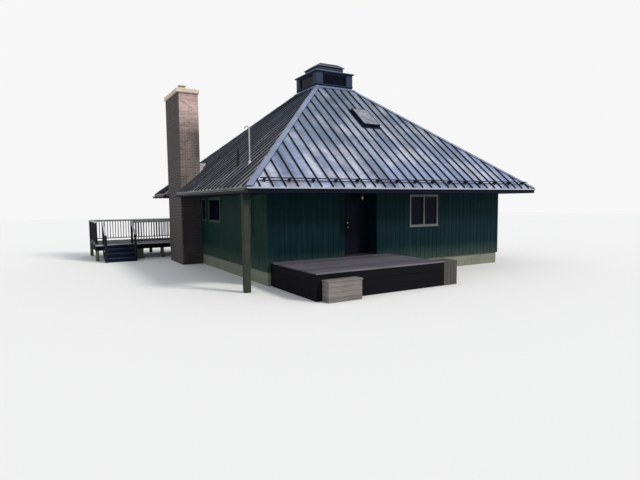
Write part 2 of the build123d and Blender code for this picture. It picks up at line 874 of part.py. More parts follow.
rear_post_span = rear_deck_right - rear_deck_left - rear_post_size
with BuildPart() as rear_deck_posts:
    rim_bottom = rear_under - rear_rim_height
    for number in range(rear_post_bays + 1):
        x = rear_deck_left + number * rear_post_span / rear_post_bays
        for y in (rear_front, rear_back - rear_post_size):
            add(block((x, y, 0), (x + rear_post_size, y + rear_post_size, rim_bottom)))
    low = (rear_pier_x - rear_pier_size / 2, rear_front, 0)
    add(block(low, (rear_pier_x + rear_pier_size / 2, rear_front + rear_pier_size, rim_bottom)))
save(rear_deck_posts, "rear_deck_posts")


def railing(start, end):
    # A straight panel from one post's middle to the next: cap, lower bar, balusters and both posts.
    length = math.dist(start, end)
    angle = math.degrees(math.atan2(end[1] - start[1], end[0] - start[0]))
    with BuildPart() as panel:
        for along in (0, length):
            with Locations((along, 0, rail_height / 2)):
                Box(rail_post_size, rail_post_size, rail_height)
        with Locations((length / 2, 0, rail_height + rail_bar_size / 2)):
            Box(length + rail_cap_width, rail_cap_width, rail_bar_size)
        with Locations((length / 2, 0, rail_bottom_gap + rail_bar_size / 2)):
            Box(length, rail_bar_size, rail_bar_size)
        with Locations((length / 2, 0, rail_height - rail_bar_size / 2)):
            Box(length, rail_bar_size, rail_bar_size)
        clear = length - rail_post_size
        count = int(clear // baluster_pitch)
        step = clear / (count + 1)
        for number in range(count):
            along = rail_post_size / 2 + (number + 1) * step
            with Locations((along, 0, (rail_height + rail_bottom_gap) / 2)):
                Box(baluster_size, baluster_size, rail_height - rail_bottom_gap)
    return panel.part.rotate(Axis.Z, angle).moved(Location((start[0], start[1], floor_height)))


rail_inset = rail_post_size / 2
rail_front = rear_front + rail_inset
rail_back = rear_back - rail_inset
with BuildPart() as rear_rail_front:
    add(railing((stair_right - rail_inset, rail_front), (-wall_half - rail_cap_width, rail_front)))
save(rear_rail_front, "rear_rail_front")

with BuildPart() as rear_rail_back:
    start = (rear_deck_left + rail_inset + rail_cap_width, rail_back)
    add(railing(start, (rear_deck_right - rail_inset - rail_cap_width, rail_back)))
save(rear_rail_back, "rear_rail_back")

with BuildPart() as rear_rail_ends:
    for x in (rear_deck_left + rail_inset, rear_deck_right - rail_inset):
        add(railing((x, rail_front), (x, rail_back)))
save(rear_rail_ends, "rear_rail_ends")

# Stair down to the front from the rear deck: two stringers, and the treads between them.
riser = floor_height / stair_risers
stair_run = (stair_risers - 1) * stair_going
with BuildPart() as stair_stringers:
    for x in (stair_left, stair_right - stringer_thickness):
        with BuildSketch(Plane.YZ.offset(x)):
            with BuildLine():
                Polyline(
                    (rear_front, floor_height - riser),
                    (rear_front, floor_height - riser - stringer_height),
                    (rear_front - stair_run + stringer_height / 2, 0),
                    (rear_front - stair_run, 0),
                    (rear_front - stair_run, riser),
                    close=True,
                )
            make_face()
        extrude(amount=stringer_thickness)
save(stair_stringers, "stair_stringers")

with BuildPart() as stair_treads:
    for number in range(1, stair_risers):
        tread_back = rear_front - (number - 1) * stair_going
        tread_top = floor_height - number * riser
        low = (stair_left + stringer_thickness, tread_back - stair_going, tread_top - tread_thickness)
        add(block(low, (stair_right - stringer_thickness, tread_back, tread_top)))
save(stair_treads, "stair_treads")

# Handrails beside the stair: a post at the foot, two sloping rails, and on the left a post at the top.
# On the right the rails meet the first post of the deck's own railing.
stair_slope = riser / stair_going
handrail_top = floor_height + rail_height
foot_back = rear_front - stair_run
foot_front = foot_back - rail_post_size
with BuildPart() as stair_rails:
    for x in (stair_left, stair_right - rail_post_size):
        foot_top = handrail_top - stair_slope * (rear_front - foot_back)
        add(block((x, foot_front, 0), (x + rail_post_size, foot_back, foot_top)))
        for drop in (0, rail_height - rail_bar_size - rail_bottom_gap):
            with BuildSketch(Plane.YZ.offset(x + (rail_post_size - rail_bar_size) / 2)):
                with BuildLine():
                    Polyline(
                        (rear_front, handrail_top - drop),
                        (rear_front, handrail_top - drop - rail_bar_size),
                        (foot_back, foot_top - drop - rail_bar_size),
                        (foot_back, foot_top - drop),
                        close=True,
                    )
                make_face()
            extrude(amount=rail_bar_size)
    low = (stair_left, rear_front, floor_height)
    add(block(low, (stair_left + rail_post_size, rear_front + rail_post_size, handrail_top)))
save(stair_rails, "stair_rails")

# Porch lamp on the recess's ceiling.
with BuildPart() as porch_lamp:
    with BuildSketch(Plane.XY.offset(soffit_height)):
        with Locations((lamp_x, -wall_half + recess_depth / 2)):
            Circle(lamp_width / 2)
    extrude(amount=-lamp_drop)
save(porch_lamp, "porch_lamp")
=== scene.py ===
import math
import random

import bmesh
import bpy
from mathutils import Matrix, Vector


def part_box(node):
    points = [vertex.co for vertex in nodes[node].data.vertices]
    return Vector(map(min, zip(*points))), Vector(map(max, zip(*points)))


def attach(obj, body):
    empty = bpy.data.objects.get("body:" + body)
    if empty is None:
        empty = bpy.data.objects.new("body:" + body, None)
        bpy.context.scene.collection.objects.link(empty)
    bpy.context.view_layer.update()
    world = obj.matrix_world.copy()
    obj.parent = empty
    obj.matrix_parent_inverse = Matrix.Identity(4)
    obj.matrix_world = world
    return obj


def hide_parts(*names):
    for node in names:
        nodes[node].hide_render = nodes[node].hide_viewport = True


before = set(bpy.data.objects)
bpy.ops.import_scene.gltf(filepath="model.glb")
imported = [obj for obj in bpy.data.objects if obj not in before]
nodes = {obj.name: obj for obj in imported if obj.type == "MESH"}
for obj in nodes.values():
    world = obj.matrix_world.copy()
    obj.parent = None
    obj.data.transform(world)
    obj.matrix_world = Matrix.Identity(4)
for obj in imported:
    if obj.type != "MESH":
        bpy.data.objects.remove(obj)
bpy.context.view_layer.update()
rng = random.Random(41)

# The house's main lines, in metres, read from the frame.
eaveHalf = -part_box("roof_front")[0].y
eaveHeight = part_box("hip_caps")[0].z
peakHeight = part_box("roof_front")[1].z
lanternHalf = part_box("lantern_curb")[1].x
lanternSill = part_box("lantern_curb")[1].z
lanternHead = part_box("lantern_head")[0].z
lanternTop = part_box("lantern_head")[1].z
slope = (peakHeight - eaveHeight) / (eaveHalf - lanternHalf)
pitch = math.atan(slope)
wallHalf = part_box("back_wall")[1].y
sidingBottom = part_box("back_wall")[0].z
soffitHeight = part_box("corner_boards")[1].z
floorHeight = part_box("floor")[1].z
chimneyLow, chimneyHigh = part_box("chimney")
turns = {"front": 0, "left": -90, "back": 180, "right": 90}
print("stage: frame loaded")


def roofTop(distance):
    # Height of the roof sheet this far from the house's middle.
    return eaveHeight + (eaveHalf - distance) * slope


# Small makers that every piece uses.
def move(bm, verts, vec):
    bmesh.ops.translate(bm, verts=verts, vec=vec)


def spin(bm, verts, angle, axis="Z", centre=(0, 0, 0)):
    bmesh.ops.rotate(bm, verts=verts, cent=centre, matrix=Matrix.Rotation(angle, 3, axis))


def turnVerts(bm, verts, side):
    # Turns what was made on the front to another side of the house.
    spin(bm, verts, math.radians(turns[side]))


def addBox(bm, low, high, tone=None):
    low, high = Vector(low), Vector(high)
    verts = bmesh.ops.create_cube(bm, size=1)["verts"]
    bmesh.ops.scale(bm, verts=verts, vec=high - low)
    move(bm, verts, (low + high) / 2)
    if tone is not None:
        layer = bm.faces.layers.float.get("tone") or bm.faces.layers.float.new("tone")
        for vert in verts:
            for face in vert.link_faces:
                face[layer] = tone
    return verts


def addRound(bm, low, high):
    # The same box on all four sides of the house.
    for side in turns:
        turnVerts(bm, addBox(bm, low, high), side)


def addRing(bm, left, right, bottom, top, width, front, back):
    # Four bars just inside an opening.
    made = addBox(bm, (left, front, bottom), (left + width, back, top))
    made += addBox(bm, (right - width, front, bottom), (right, back, top))
    made += addBox(bm, (left + width, front, bottom), (right - width, back, bottom + width))
    made += addBox(bm, (left + width, front, top - width), (right - width, back, top))
    return made


def addTube(bm, start, end, sides, radius, endRadius=None):
    start, end = Vector(start), Vector(end)
    verts = bmesh.ops.create_cone(bm, segments=sides, cap_ends=True, radius1=radius,
                                  radius2=radius if endRadius is None else endRadius,
                                  depth=(end - start).length)["verts"]
    way = Vector((0, 0, 1)).rotation_difference(end - start).to_matrix()
    bmesh.ops.rotate(bm, verts=verts, cent=(0, 0, 0), matrix=way)
    move(bm, verts, (start + end) / 2)


def chamfer(bm, width, segments=1):
    bmesh.ops.bevel(bm, geom=bm.edges[:], offset=width, offset_type="OFFSET", segments=segments,
                    profile=0.5, affect="EDGES", clamp_overlap=True, material=-1)


def addObject(bm, name, mat):
    mesh = bpy.data.meshes.new(name)
    bm.to_mesh(mesh)
    bm.free()
    mesh.materials.append(mat)
    added = bpy.data.objects.new(name, mesh)
    bpy.context.scene.collection.objects.link(added)
    return added


def makePiece(bm, name, finish, edge=0, sheet=0, body="house", replaces=()):
    # Edge is the width of its chamfers, and sheet the thickness that open faces get.
    if edge:
        chamfer(bm, edge)
    bmesh.ops.recalc_face_normals(bm, faces=bm.faces[:])
    piece = addObject(bm, name, finishes[finish])
    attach(piece, body)
    if replaces:
        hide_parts(*replaces)
    if sheet:
        thick = piece.modifiers.new("sheet", "SOLIDIFY")
        thick.thickness, thick.offset = sheet, 0
    return piece


# Materials: each maker below adds nodes and returns the socket that the next one takes.
def feed(mat, socket, value):
    # Links the socket to another one, or gives it a number, a scale or a colour.
    if isinstance(value, bpy.types.NodeSocket):
        mat.node_tree.links.new(value, socket)
    else:
        socket.default_value = (*value, 1) if socket.type == "RGBA" else value


def addNode(mat, kind, inputs=None, **settings):
    node = mat.node_tree.nodes.new(kind)
    for key, value in settings.items():
        setattr(node, key, value)
    for key, value in (inputs or {}).items():
        feed(mat, node.inputs[key], value)
    return node


def shaderInputs(mat):
    return mat.node_tree.nodes["Principled BSDF"].inputs


def startMaterial(name, color, roughness, metallic=0.0, gloss=0.5):
    mat = bpy.data.materials.new(name)
    mat.use_nodes = True
    plain = {"Base Color": color, "Roughness": roughness, "Metallic": metallic, "Specular IOR Level": gloss}
    for key, value in plain.items():
        feed(mat, shaderInputs(mat)[key], value)
    return mat


def setShader(mat, color, height, bump, distance, roughness=None):
    relief = addNode(mat, "ShaderNodeBump", {"Height": height, "Strength": bump, "Distance": distance})
    feed(mat, shaderInputs(mat)["Base Color"], color)
    feed(mat, shaderInputs(mat)["Normal"], relief.outputs["Normal"])
    if roughness is not None:
        feed(mat, shaderInputs(mat)["Roughness"], roughness)
    return mat


def objectPlace(mat):
    return addNode(mat, "ShaderNodeTexCoord").outputs["Object"]


def splitPlace(mat):
    return addNode(mat, "ShaderNodeSeparateXYZ", {"Vector": objectPlace(mat)}).outputs


def noise(mat, scale, detail, roughness=0.55, stretch=(1, 1, 1)):
    # The pattern runs along the axis with the lowest stretch.
    place = addNode(mat, "ShaderNodeMapping", {"Vector": objectPlace(mat), "Scale": stretch}).outputs["Vector"]
    inputs = {"Vector": place, "Scale": scale, "Detail": detail, "Roughness": roughness}
    return addNode(mat, "ShaderNodeTexNoise", inputs).outputs["Fac"]


def ramp(mat, value, *stops):
    # Each stop is a place and the colour or the share there.
    node = addNode(mat, "ShaderNodeValToRGB", {"Fac": value})
    while len(node.color_ramp.elements) < len(stops):
        node.color_ramp.elements.new(0.5)
    for element, (place, color) in zip(node.color_ramp.elements, stops):
        element.position = place
        element.color = (*color, 1) if isinstance(color, tuple) else (color, color, color, 1)
    return node.outputs["Color"]


def mixColor(mat, share, first, second, blend="MIX"):
    # Sockets 0, 6 and 7 are the mix's factor and its two colours.
    node = addNode(mat, "ShaderNodeMix", {0: share, 6: first, 7: second}, data_type="RGBA", blend_type=blend)
    return node.outputs[2]


def compute(mat, operation, *values):
    return addNode(mat, "ShaderNodeMath", dict(enumerate(values)), operation=operation).outputs[0]


def times(mat, first, second):
    return compute(mat, "MULTIPLY", first, second)


def axisMask(mat, axis, empty, full):
    # 0 on the side of the first coordinate, 1 on the side of the second, and a fade between them.
    inputs = {"Value": splitPlace(mat)[axis], "From Min": empty, "From Max": full}
    return addNode(mat, "ShaderNodeMapRange", inputs).outputs["Result"]


def overlay(mat, mask, color):
    # Lays a colour over the finish where the mask is 1.
    socket = shaderInputs(mat)["Base Color"]
    feed(mat, socket, mixColor(mat, mask, socket.links[0].from_socket, color))
    return mat


def vary(mat, shade, pattern, *stops):
    # Darkens and lightens a colour with a pattern.
    return mixColor(mat, 1.0, shade, ramp(mat, pattern, *stops), "MULTIPLY")


def scaled(color, factor):
    return tuple(min(1, part * factor) for part in color)


def ownTone(mat):
    # The tone that addBox gave each board or brick.
    return addNode(mat, "ShaderNodeAttribute", attribute_name="tone").outputs["Fac"]


timber = {"acrossGrain": 26, "alongGrain": 1.2, "fibreScale": 2.2, "blotchScale": 1.3, "blotchShare": 0.35,
          "darkBoard": 0.72, "lightBoard": 1.22, "relief": 0.004}


def timberFinish(name, color, roughness, grain="Z", contrast=0.35, toned=False, bump=0.35, gloss=0.12):
    # Sawn or painted wood: long grain, soft blotches and, where pieces carry it, a tone for each board.
    mat = startMaterial(name, color, roughness, gloss=gloss)
    stretch = tuple(timber["alongGrain" if axis == grain else "acrossGrain"] for axis in "XYZ")
    fibres = noise(mat, timber["fibreScale"], 6, 0.65, stretch)
    blotches = noise(mat, timber["blotchScale"], 3)
    stops = (0.3, scaled(color, 1 - contrast)), (0.7, scaled(color, 1 + contrast))
    shade = mixColor(mat, timber["blotchShare"], ramp(mat, fibres, *stops), ramp(mat, blotches, *stops))
    if toned:
        shade = vary(mat, shade, ownTone(mat), (0, timber["darkBoard"]), (1, timber["lightBoard"]))
    rough = ramp(mat, blotches, (0.2, roughness * 0.85), (0.8, min(1, roughness * 1.15)))
    return setShader(mat, shade, fibres, bump, timber["relief"], rough)


sheetMetal = {"cloudScale": 1.1, "cloudSwing": 0.22, "dirtScale": 6.5, "dents": 0.12, "relief": 0.02}


def sheetFinish(name, color, roughness, metallic=0.35, stain=(0.20, 0.17, 0.14), stainShare=0.25, gloss=0.5):
    # Painted or bare sheet metal: uneven sheen, faint dents and dirt.
    mat = startMaterial(name, color, roughness, metallic, gloss)
    clouds, dirt = noise(mat, sheetMetal["cloudScale"], 5, 0.6), noise(mat, sheetMetal["dirtScale"], 6, 0.7)
    swing = sheetMetal["cloudSwing"]
    shade = ramp(mat, clouds, (0.32, scaled(color, 1 - swing)), (0.68, scaled(color, 1 + swing)))
    shade = mixColor(mat, ramp(mat, dirt, (0.52, 0.0), (0.78, stainShare)), shade, stain)
    rough = ramp(mat, dirt, (0.3, roughness * 0.8), (0.8, min(1, roughness * 1.4)))
    return setShader(mat, shade, clouds, sheetMetal["dents"], sheetMetal["relief"], rough)


roofSheet = {"fadeInset": 0.6, "acrossPanels": 1.0, "alongPanels": 0.12, "streakFineness": 9,
             "streakSwing": 0.18, "speckSwing": 0.26, "patchFade": 0.5, "dents": 0.1, "relief": 0.02}


def roofFinish(name, side, low, high, patches, rim, share, spread):
    # Roof sheet: two tones up the slope as painted reflection and light, cloudy patches of painted light,
    # a tone for each run of panels, dull streaks down them and a painted highlight on the folded edge at the eave.
    mat = startMaterial(name, low, 0.5, 0.2, 0.4)
    across, along = roofSheet["acrossPanels"], roofSheet["alongPanels"]
    wide = (across, along, along) if side in ("front", "back") else (along, across, along)
    inset = roofSheet["fadeInset"]
    climb = axisMask(mat, "Z", eaveHeight + inset, peakHeight - inset)
    clouds, specks = noise(mat, 0.75, 5, 0.62), noise(mat, 9.0, 6, 0.75)
    runs = noise(mat, 2.3, 2, 0.4, wide)
    streaks = noise(mat, 2.0, 4, 0.6, tuple(part * roofSheet["streakFineness"] for part in wide))
    # Painted reflection and light: lighter at the eave, darker higher up.
    sheet = mixColor(mat, climb, low, high)
    thinning = compute(mat, "SUBTRACT", 1.0, times(mat, climb, roofSheet["patchFade"]))
    # Painted light in cloudy patches, thinning up the slope.
    sheet = mixColor(mat, times(mat, ramp(mat, clouds, (0.46, 0.0), (0.63, share)), thinning), sheet, patches)
    for pattern, start, end, swing in ((runs, 0.35, 0.65, spread), (streaks, 0.3, 0.7, roofSheet["streakSwing"]),
                                       (specks, 0.32, 0.68, roofSheet["speckSwing"])):
        sheet = vary(mat, sheet, pattern, (start, 1 - swing), (end, 1 + swing))
    # Painted highlight on the folded edge at the eave.
    sheet = mixColor(mat, axisMask(mat, "Z", eaveHeight + 0.001, eaveHeight - 0.001), sheet, rim)
    rough = ramp(mat, specks, (0.3, 0.42), (0.8, 0.64))
    return setShader(mat, sheet, clouds, roofSheet["dents"], roofSheet["relief"], rough)


def railFinish(name, color, top):
    # Dark timber rails under a pale worn cap.
    mat = timberFinish(name, color, 0.7, "X", 0.4)
    wear = ramp(mat, noise(mat, 9, 5, 0.7), (0.3, (0.30, 0.32, 0.29)), (0.7, (0.56, 0.58, 0.54)))
    return overlay(mat, axisMask(mat, "Z", top - 0.062, top - 0.060), wear)


def mastFinish(name, zinc, eaveShade):
    # Galvanised pipe above the eave, and below it the wall's dark colour as painted shade of the eave.
    mat = sheetFinish(name, zinc, 0.45, 0.4)
    return overlay(mat, axisMask(mat, "Z", soffitHeight + 0.002, soffitHeight), eaveShade)


def frameFinish(name, front, left):
    # Window casings: pale paint darkened as painted shade, worn, and the greyer ones of the left wall.
    mat = sheetFinish(name, front, 0.5, 0.0, scaled(front, 0.55), 0.4, 0.2)
    wear = ramp(mat, noise(mat, 5, 4), (0.3, scaled(left, 0.7)), (0.7, left))
    return overlay(mat, axisMask(mat, "X", 0.06 - wallHalf, 0.05 - wallHalf), wear)


def floorFinish(name):
    # Warm boards indoors, and a dark worn sill in the entry recess.
    mat = timberFinish(name, (0.16, 0.105, 0.065), 0.45, "Y", 0.3)
    wear = ramp(mat, noise(mat, 8, 4), (0.3, (0.014, 0.013, 0.016)), (0.7, (0.040, 0.036, 0.038)))
    return overlay(mat, axisMask(mat, "Y", 0.61 - wallHalf, 0.60 - wallHalf), wear)


# Soot and painted shade on the chimney: soot and painted shade are measured down from its top, and painted shade
# under the eave down from the eave.
chimneySootAndShade = {"sootAndShadeFull": 1.7, "sootAndShadeEnd": 0.7, "patchScale": 0.8, "eaveShadeFull": 0.12, "eaveShadeEnd": 0.02,
              "eaveShadeShare": 0.75, "capShadowLine": 0.075, "capShadowFade": 0.015}


def leftFaceMask(mat):
    return axisMask(mat, "X", chimneyLow.x + 0.06, chimneyLow.x + 0.03)


def sootAndShadeMask(mat, least, most):
    # Soot and painted shade: soft patches, thinner towards the chimney's top, and painted shade thick all over its
    # left face.
    patches = ramp(mat, noise(mat, chimneySootAndShade["patchScale"], 5, 0.6, (1, 1, 0.6)), (0.40, least), (0.60, most))
    height = axisMask(mat, "Z", chimneyHigh.z - chimneySootAndShade["sootAndShadeEnd"], chimneyHigh.z - chimneySootAndShade["sootAndShadeFull"])
    return compute(mat, "MAXIMUM", times(mat, patches, height), times(mat, leftFaceMask(mat), most))


def eaveShadeMask(mat):
    # Painted shade: the chimney's front and back are darkened below the eave.
    below = axisMask(mat, "Z", eaveHeight - chimneySootAndShade["eaveShadeEnd"], eaveHeight - chimneySootAndShade["eaveShadeFull"])
    inner = compute(mat, "SUBTRACT", 1.0, leftFaceMask(mat))
    return times(mat, times(mat, below, inner), chimneySootAndShade["eaveShadeShare"])


def brickFinish(name):
    # Fired clay: each brick has its own tone, with sand, soot and painted shade, painted shade under the eave, and a
    # painted shadow line under the cap.
    mat = startMaterial(name, (0.36, 0.18, 0.13), 0.85, 0.0, 0.15)
    clay = ramp(mat, ownTone(mat), (0.0, (0.22, 0.14, 0.125)), (0.25, (0.40, 0.25, 0.22)),
                (0.55, (0.54, 0.36, 0.32)), (0.8, (0.62, 0.46, 0.42)), (1.0, (0.70, 0.58, 0.53)))
    sand = noise(mat, 120, 3, 0.6)
    shade = mixColor(mat, 0.2, clay, ramp(mat, sand, (0.3, (0.28, 0.19, 0.17)), (0.7, (0.66, 0.52, 0.47))))
    # Painted shadow of the cap along the top course.
    line = chimneyHigh.z - chimneySootAndShade["capShadowLine"]
    # Soot and painted shade: darker below the top and all over the left face.
    for mask, color in ((sootAndShadeMask(mat, 0.74, 0.95), (0.044, 0.041, 0.042)),
                        # painted shade on the front and back below the eave
                        (eaveShadeMask(mat), (0.007, 0.012, 0.016)),
                        (axisMask(mat, "Z", line, line + chimneySootAndShade["capShadowFade"]), (0.022, 0.018, 0.018))):
        shade = mixColor(mat, mask, shade, color)
    return setShader(mat, shade, sand, 0.5, 0.002)


def mortarFinish(name):
    mat = stoneFinish(name, (0.64, 0.59, 0.55), 0.95, 90, 0.3)
    # Soot and painted shade, as on the bricks.
    overlay(mat, sootAndShadeMask(mat, 0.5, 0.85), (0.14, 0.135, 0.13))
    # Painted shade below the eave, as on the bricks.
    return overlay(mat, eaveShadeMask(mat), (0.010, 0.015, 0.018))


def stoneFinish(name, color, roughness=0.9, grit=60, stain=0.5):
    # Cast concrete, mortar or block: grit, pits and damp.
    mat = startMaterial(name, color, roughness, 0.0, 0.25)
    grain, damp = noise(mat, grit, 4, 0.7), noise(mat, 1.6, 5, 0.6)
    dark, light = scaled(color, 0.6), scaled(color, 1.2)
    shade = mixColor(mat, 0.5, ramp(mat, grain, (0.3, dark), (0.7, light)),
                     ramp(mat, damp, (0.35, dark), (0.62, light)))
    shade = mixColor(mat, ramp(mat, damp, (0.5, 0.0), (0.8, stain)), shade, dark)
    return setShader(mat, shade, grain, 0.5, 0.004)


def blockFinish(name, color, joints):
    # Concrete block in courses, for the foundation.
    mat = stoneFinish(name, color)
    place = splitPlace(mat)
    along = compute(mat, "ADD", place["X"], place["Y"])
    flat = addNode(mat, "ShaderNodeCombineXYZ", {"X": along, "Y": place["Z"]}).outputs["Vector"]
    inputs = {"Vector": flat, "Scale": 1.0, "Brick Width": 0.406, "Row Height": 0.203, "Mortar Size": 0.006}
    return overlay(mat, addNode(mat, "ShaderNodeTexBrick", inputs).outputs["Fac"], joints)


def glassFinish(name, tint, patchTone, roughness, gloss, alpha):
    # Window glass: dark inside, with a clear gloss that rises at flat angles, and patches of a second tone.
    mat = startMaterial(name, tint, roughness, 0.0, gloss)
    feed(mat, shaderInputs(mat)["Alpha"], alpha)
    ripple, cloud = noise(mat, 0.8, 2), noise(mat, 4.5, 5, 0.65)
    # On the skylight the second tone is a pale painted sky reflection.
    return setShader(mat, ramp(mat, cloud, (0.38, tint), (0.62, patchTone)), ripple, 0.03, 0.02)


sidingPaint = {"paintAndShade": (0.0028, 0.0155, 0.0200), "faded": (0.012, 0.044, 0.040), "fadedShare": 0.4,
               "lawnLightLeftWall": (0.006, 0.034, 0.018), "lawnLightShare": 0.55, "soil": (0.062, 0.085, 0.068),
               "soilHeight": 0.55, "lining": (0.30, 0.28, 0.25)}


def sidingFinish(name):
    # Painted vertical boards, darkened as painted shade of the eaves and faded in streaks, with painted
    # green light from the lawn on the left wall, and the plain lining of the room on the inner side.
    # The base paint is darkened as painted shade of the eaves.
    mat = timberFinish(name, sidingPaint["paintAndShade"], 0.62, "Z", 0.30, gloss=0.05)
    fade = ramp(mat, noise(mat, 1.6, 4, 0.6, (5, 5, 0.35)), (0.48, 0.0), (0.80, sidingPaint["fadedShare"]))
    overlay(mat, fade, sidingPaint["faded"])
    # Painted reflected light: green from the lawn on the left wall.
    lawnLightLeftWall = axisMask(mat, "X", 0.03 - wallHalf, 0.02 - wallHalf)
    overlay(mat, times(mat, lawnLightLeftWall, sidingPaint["lawnLightShare"]), sidingPaint["lawnLightLeftWall"])
    splash = axisMask(mat, "Z", sidingBottom + sidingPaint["soilHeight"], sidingBottom)
    overlay(mat, times(mat, splash, noise(mat, 4, 5, 0.7, (3, 3, 0.8))), sidingPaint["soil"])
    return overlay(mat, roomMask(mat), sidingPaint["lining"])


# Where the siding's paint ends: at the inner side of the walls, apart from the entry recess.
paintLimits = {"wallDepth": 0.06, "recessLeft": -2.60, "recessRight": -1.02, "recessDepth": 0.55}


def roomMask(mat):
    # 1 on faces within the outer walls, apart from those of the entry recess.
    place = splitPlace(mat)
    x, y = place["X"], place["Y"]
    reach = compute(mat, "MAXIMUM", compute(mat, "ABSOLUTE", x), compute(mat, "ABSOLUTE", y))
    room = compute(mat, "LESS_THAN", reach, wallHalf - paintLimits["wallDepth"])
    recess = compute(mat, "LESS_THAN", y, paintLimits["recessDepth"] - wallHalf)
    recess = times(mat, recess, compute(mat, "GREATER_THAN", x, paintLimits["recessLeft"]))
    recess = times(mat, recess, compute(mat, "LESS_THAN", x, paintLimits["recessRight"]))
    return times(mat, room, compute(mat, "SUBTRACT", 1.0, recess))


finishes = {
    "siding": sidingFinish("sidingPaint"),
    # Seams: painted reflection of dark surroundings, darkest on the front and right slopes.
    "seamPaintedReflectionFront": sheetFinish("seamMetalPaintedReflectionFront", (0.005, 0.008, 0.026), 0.6, 0.1, gloss=0.15),
    "seamPaintedReflectionSide": sheetFinish("seamMetalPaintedReflectionSide", (0.020, 0.024, 0.036), 0.6, 0.1, gloss=0.15),
    "flashing": sheetFinish("flashingMetal", (0.185, 0.225, 0.345), 0.45, 0.2, (0.095, 0.115, 0.165), 0.75, 0.35),
    "cricket": sheetFinish("cricketMetal", (0.36, 0.35, 0.38), 0.45, 0.3, (0.22, 0.19, 0.18), 0.5),
    "rail": sheetFinish("snowRailPaint", (0.005, 0.007, 0.018), 0.6, 0.1, gloss=0.1),
    # Painted shadow: near-black sheet for the hip folds, drip edges and the skylight's curb and rim.
    "shadow": sheetFinish("paintedShadowEdge", (0.006, 0.007, 0.014), 0.6, 0.1, gloss=0.1),
    "gutter": sheetFinish("gutterPaint", (0.018, 0.018, 0.020), 0.55, 0.0, (0.040, 0.036, 0.030), 0.5, 0.06),
    # Painted highlight: the rolled lip is pale against the dark trough.
    "gutterLip": sheetFinish("gutterLipPaintedHighlight", (0.30, 0.29, 0.28), 0.5, 0.0, (0.07, 0.065, 0.058), 0.85, 0.15),
    "trim": timberFinish("eaveTrimPaint", (0.004, 0.006, 0.014), 0.7, "X", 0.25, gloss=0.06),
    "lantern": timberFinish("lanternPaint", (0.012, 0.022, 0.058), 0.6, "Z", 0.25, gloss=0.08),
    "lanternPost": timberFinish("lanternPostPaint", (0.031, 0.045, 0.082), 0.6, "Z", 0.25, gloss=0.08),
    "lanternRoof": sheetFinish("lanternRoofSheet", (0.015, 0.025, 0.052), 0.5, 0.1, (0.07, 0.08, 0.105), 0.35, 0.2),
    "lanternEdge": sheetFinish("lanternEdgeSheet", (0.16, 0.18, 0.24), 0.45, 0.2),
    "brick": brickFinish("fireBrick"),
    "mortar": mortarFinish("mortarJoint"),
    "cap": stoneFinish("chimneyCapStone", (0.74, 0.58, 0.49)),
    "flue": stoneFinish("flueClay", (0.72, 0.66, 0.55), 0.8, 40, 0.3),
    "foundation": blockFinish("foundationBlock", (0.205, 0.215, 0.165), (0.12, 0.115, 0.11)),
    "deck": timberFinish("deckBoards", (0.088, 0.084, 0.100), 0.78, "X", 0.35, True),
    "deckEdge": timberFinish("deckEdgeBoard", (0.145, 0.14, 0.155), 0.78, "X", 0.45),
    "rearDeck": timberFinish("rearDeckBoards", (0.11, 0.105, 0.12), 0.78, "Y", 0.35, True),
    "darkTimber": timberFinish("darkStainedTimber", (0.0055, 0.0058, 0.0075), 0.8, "X", 0.4, gloss=0.06),
    "pierTimber": timberFinish("pierTimber", (0.080, 0.098, 0.066), 0.8, "Z", 0.4),
    "stairTimber": timberFinish("stairTimber", (0.008, 0.011, 0.030), 0.8, "X", 0.4, gloss=0.08),
    "treadTimber": timberFinish("treadTimber", (0.032, 0.038, 0.066), 0.75, "X", 0.35),
    "handrail": timberFinish("handrailTimber", (0.42, 0.42, 0.47), 0.75, "Y", 0.25),
    # Pale edge board, its lavender lightness partly painted sky light.
    "rearEdge": timberFinish("rearDeckEdge", (0.46, 0.44, 0.52), 0.75, "X", 0.3),
    "rails": railFinish("railTimber", (0.010, 0.010, 0.012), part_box("rear_rail_back")[1].z),
    "post": timberFinish("postTimber", (0.033, 0.039, 0.030), 0.8, "Z", 0.45, True),
    "postHead": timberFinish("postHeadPaint", (0.014, 0.021, 0.025), 0.7, "Z", 0.35, gloss=0.08),
    "box": timberFinish("cornerBoxTimber", (0.074, 0.071, 0.063), 0.8, "Z", 0.3, True),
    "step": timberFinish("stepBoards", (0.195, 0.178, 0.170), 0.8, "X", 0.3, True),
    "floor": floorFinish("floorBoards"),
    "door": timberFinish("doorPaint", (0.003, 0.0045, 0.011), 0.5, "Z", 0.25, bump=0.12, gloss=0.08),
    # Pale casing paint darkened as painted shade.
    "frame": frameFinish("windowFramePaint", (0.120, 0.124, 0.120), (0.045, 0.055, 0.062)),
    "sash": sheetFinish("windowSashPaint", (0.010, 0.013, 0.020), 0.5, 0.0, gloss=0.08),
    "glass": glassFinish("windowGlass", (0.0010, 0.0018, 0.008), (0.002, 0.0035, 0.011), 0.10, 0.06, 0.97),
    # Skylight glass: its grey-blue tone and pale patches are painted sky reflection.
    "skyGlass": glassFinish("skylightGlass", (0.075, 0.085, 0.115), (0.26, 0.275, 0.33), 0.15, 0.3, 1.0),
    "mast": mastFinish("mastZinc", (0.40, 0.39, 0.37), (0.006, 0.022, 0.024)),
    "vent": sheetFinish("ventPaint", (0.012, 0.012, 0.015), 0.5, 0.1, gloss=0.2),
    "brass": sheetFinish("agedBrass", (0.42, 0.31, 0.14), 0.32, 1.0, (0.12, 0.08, 0.04), 0.5),
    "lamp": sheetFinish("lampIron", (0.02, 0.02, 0.02), 0.45, 0.4),
    "lampGlass": sheetFinish("lampOpalGlass", (0.40, 0.42, 0.42), 0.25, 0.0),
    "hatch": sheetFinish("paleSheet", (0.62, 0.62, 0.60), 0.45, 0.1),
}

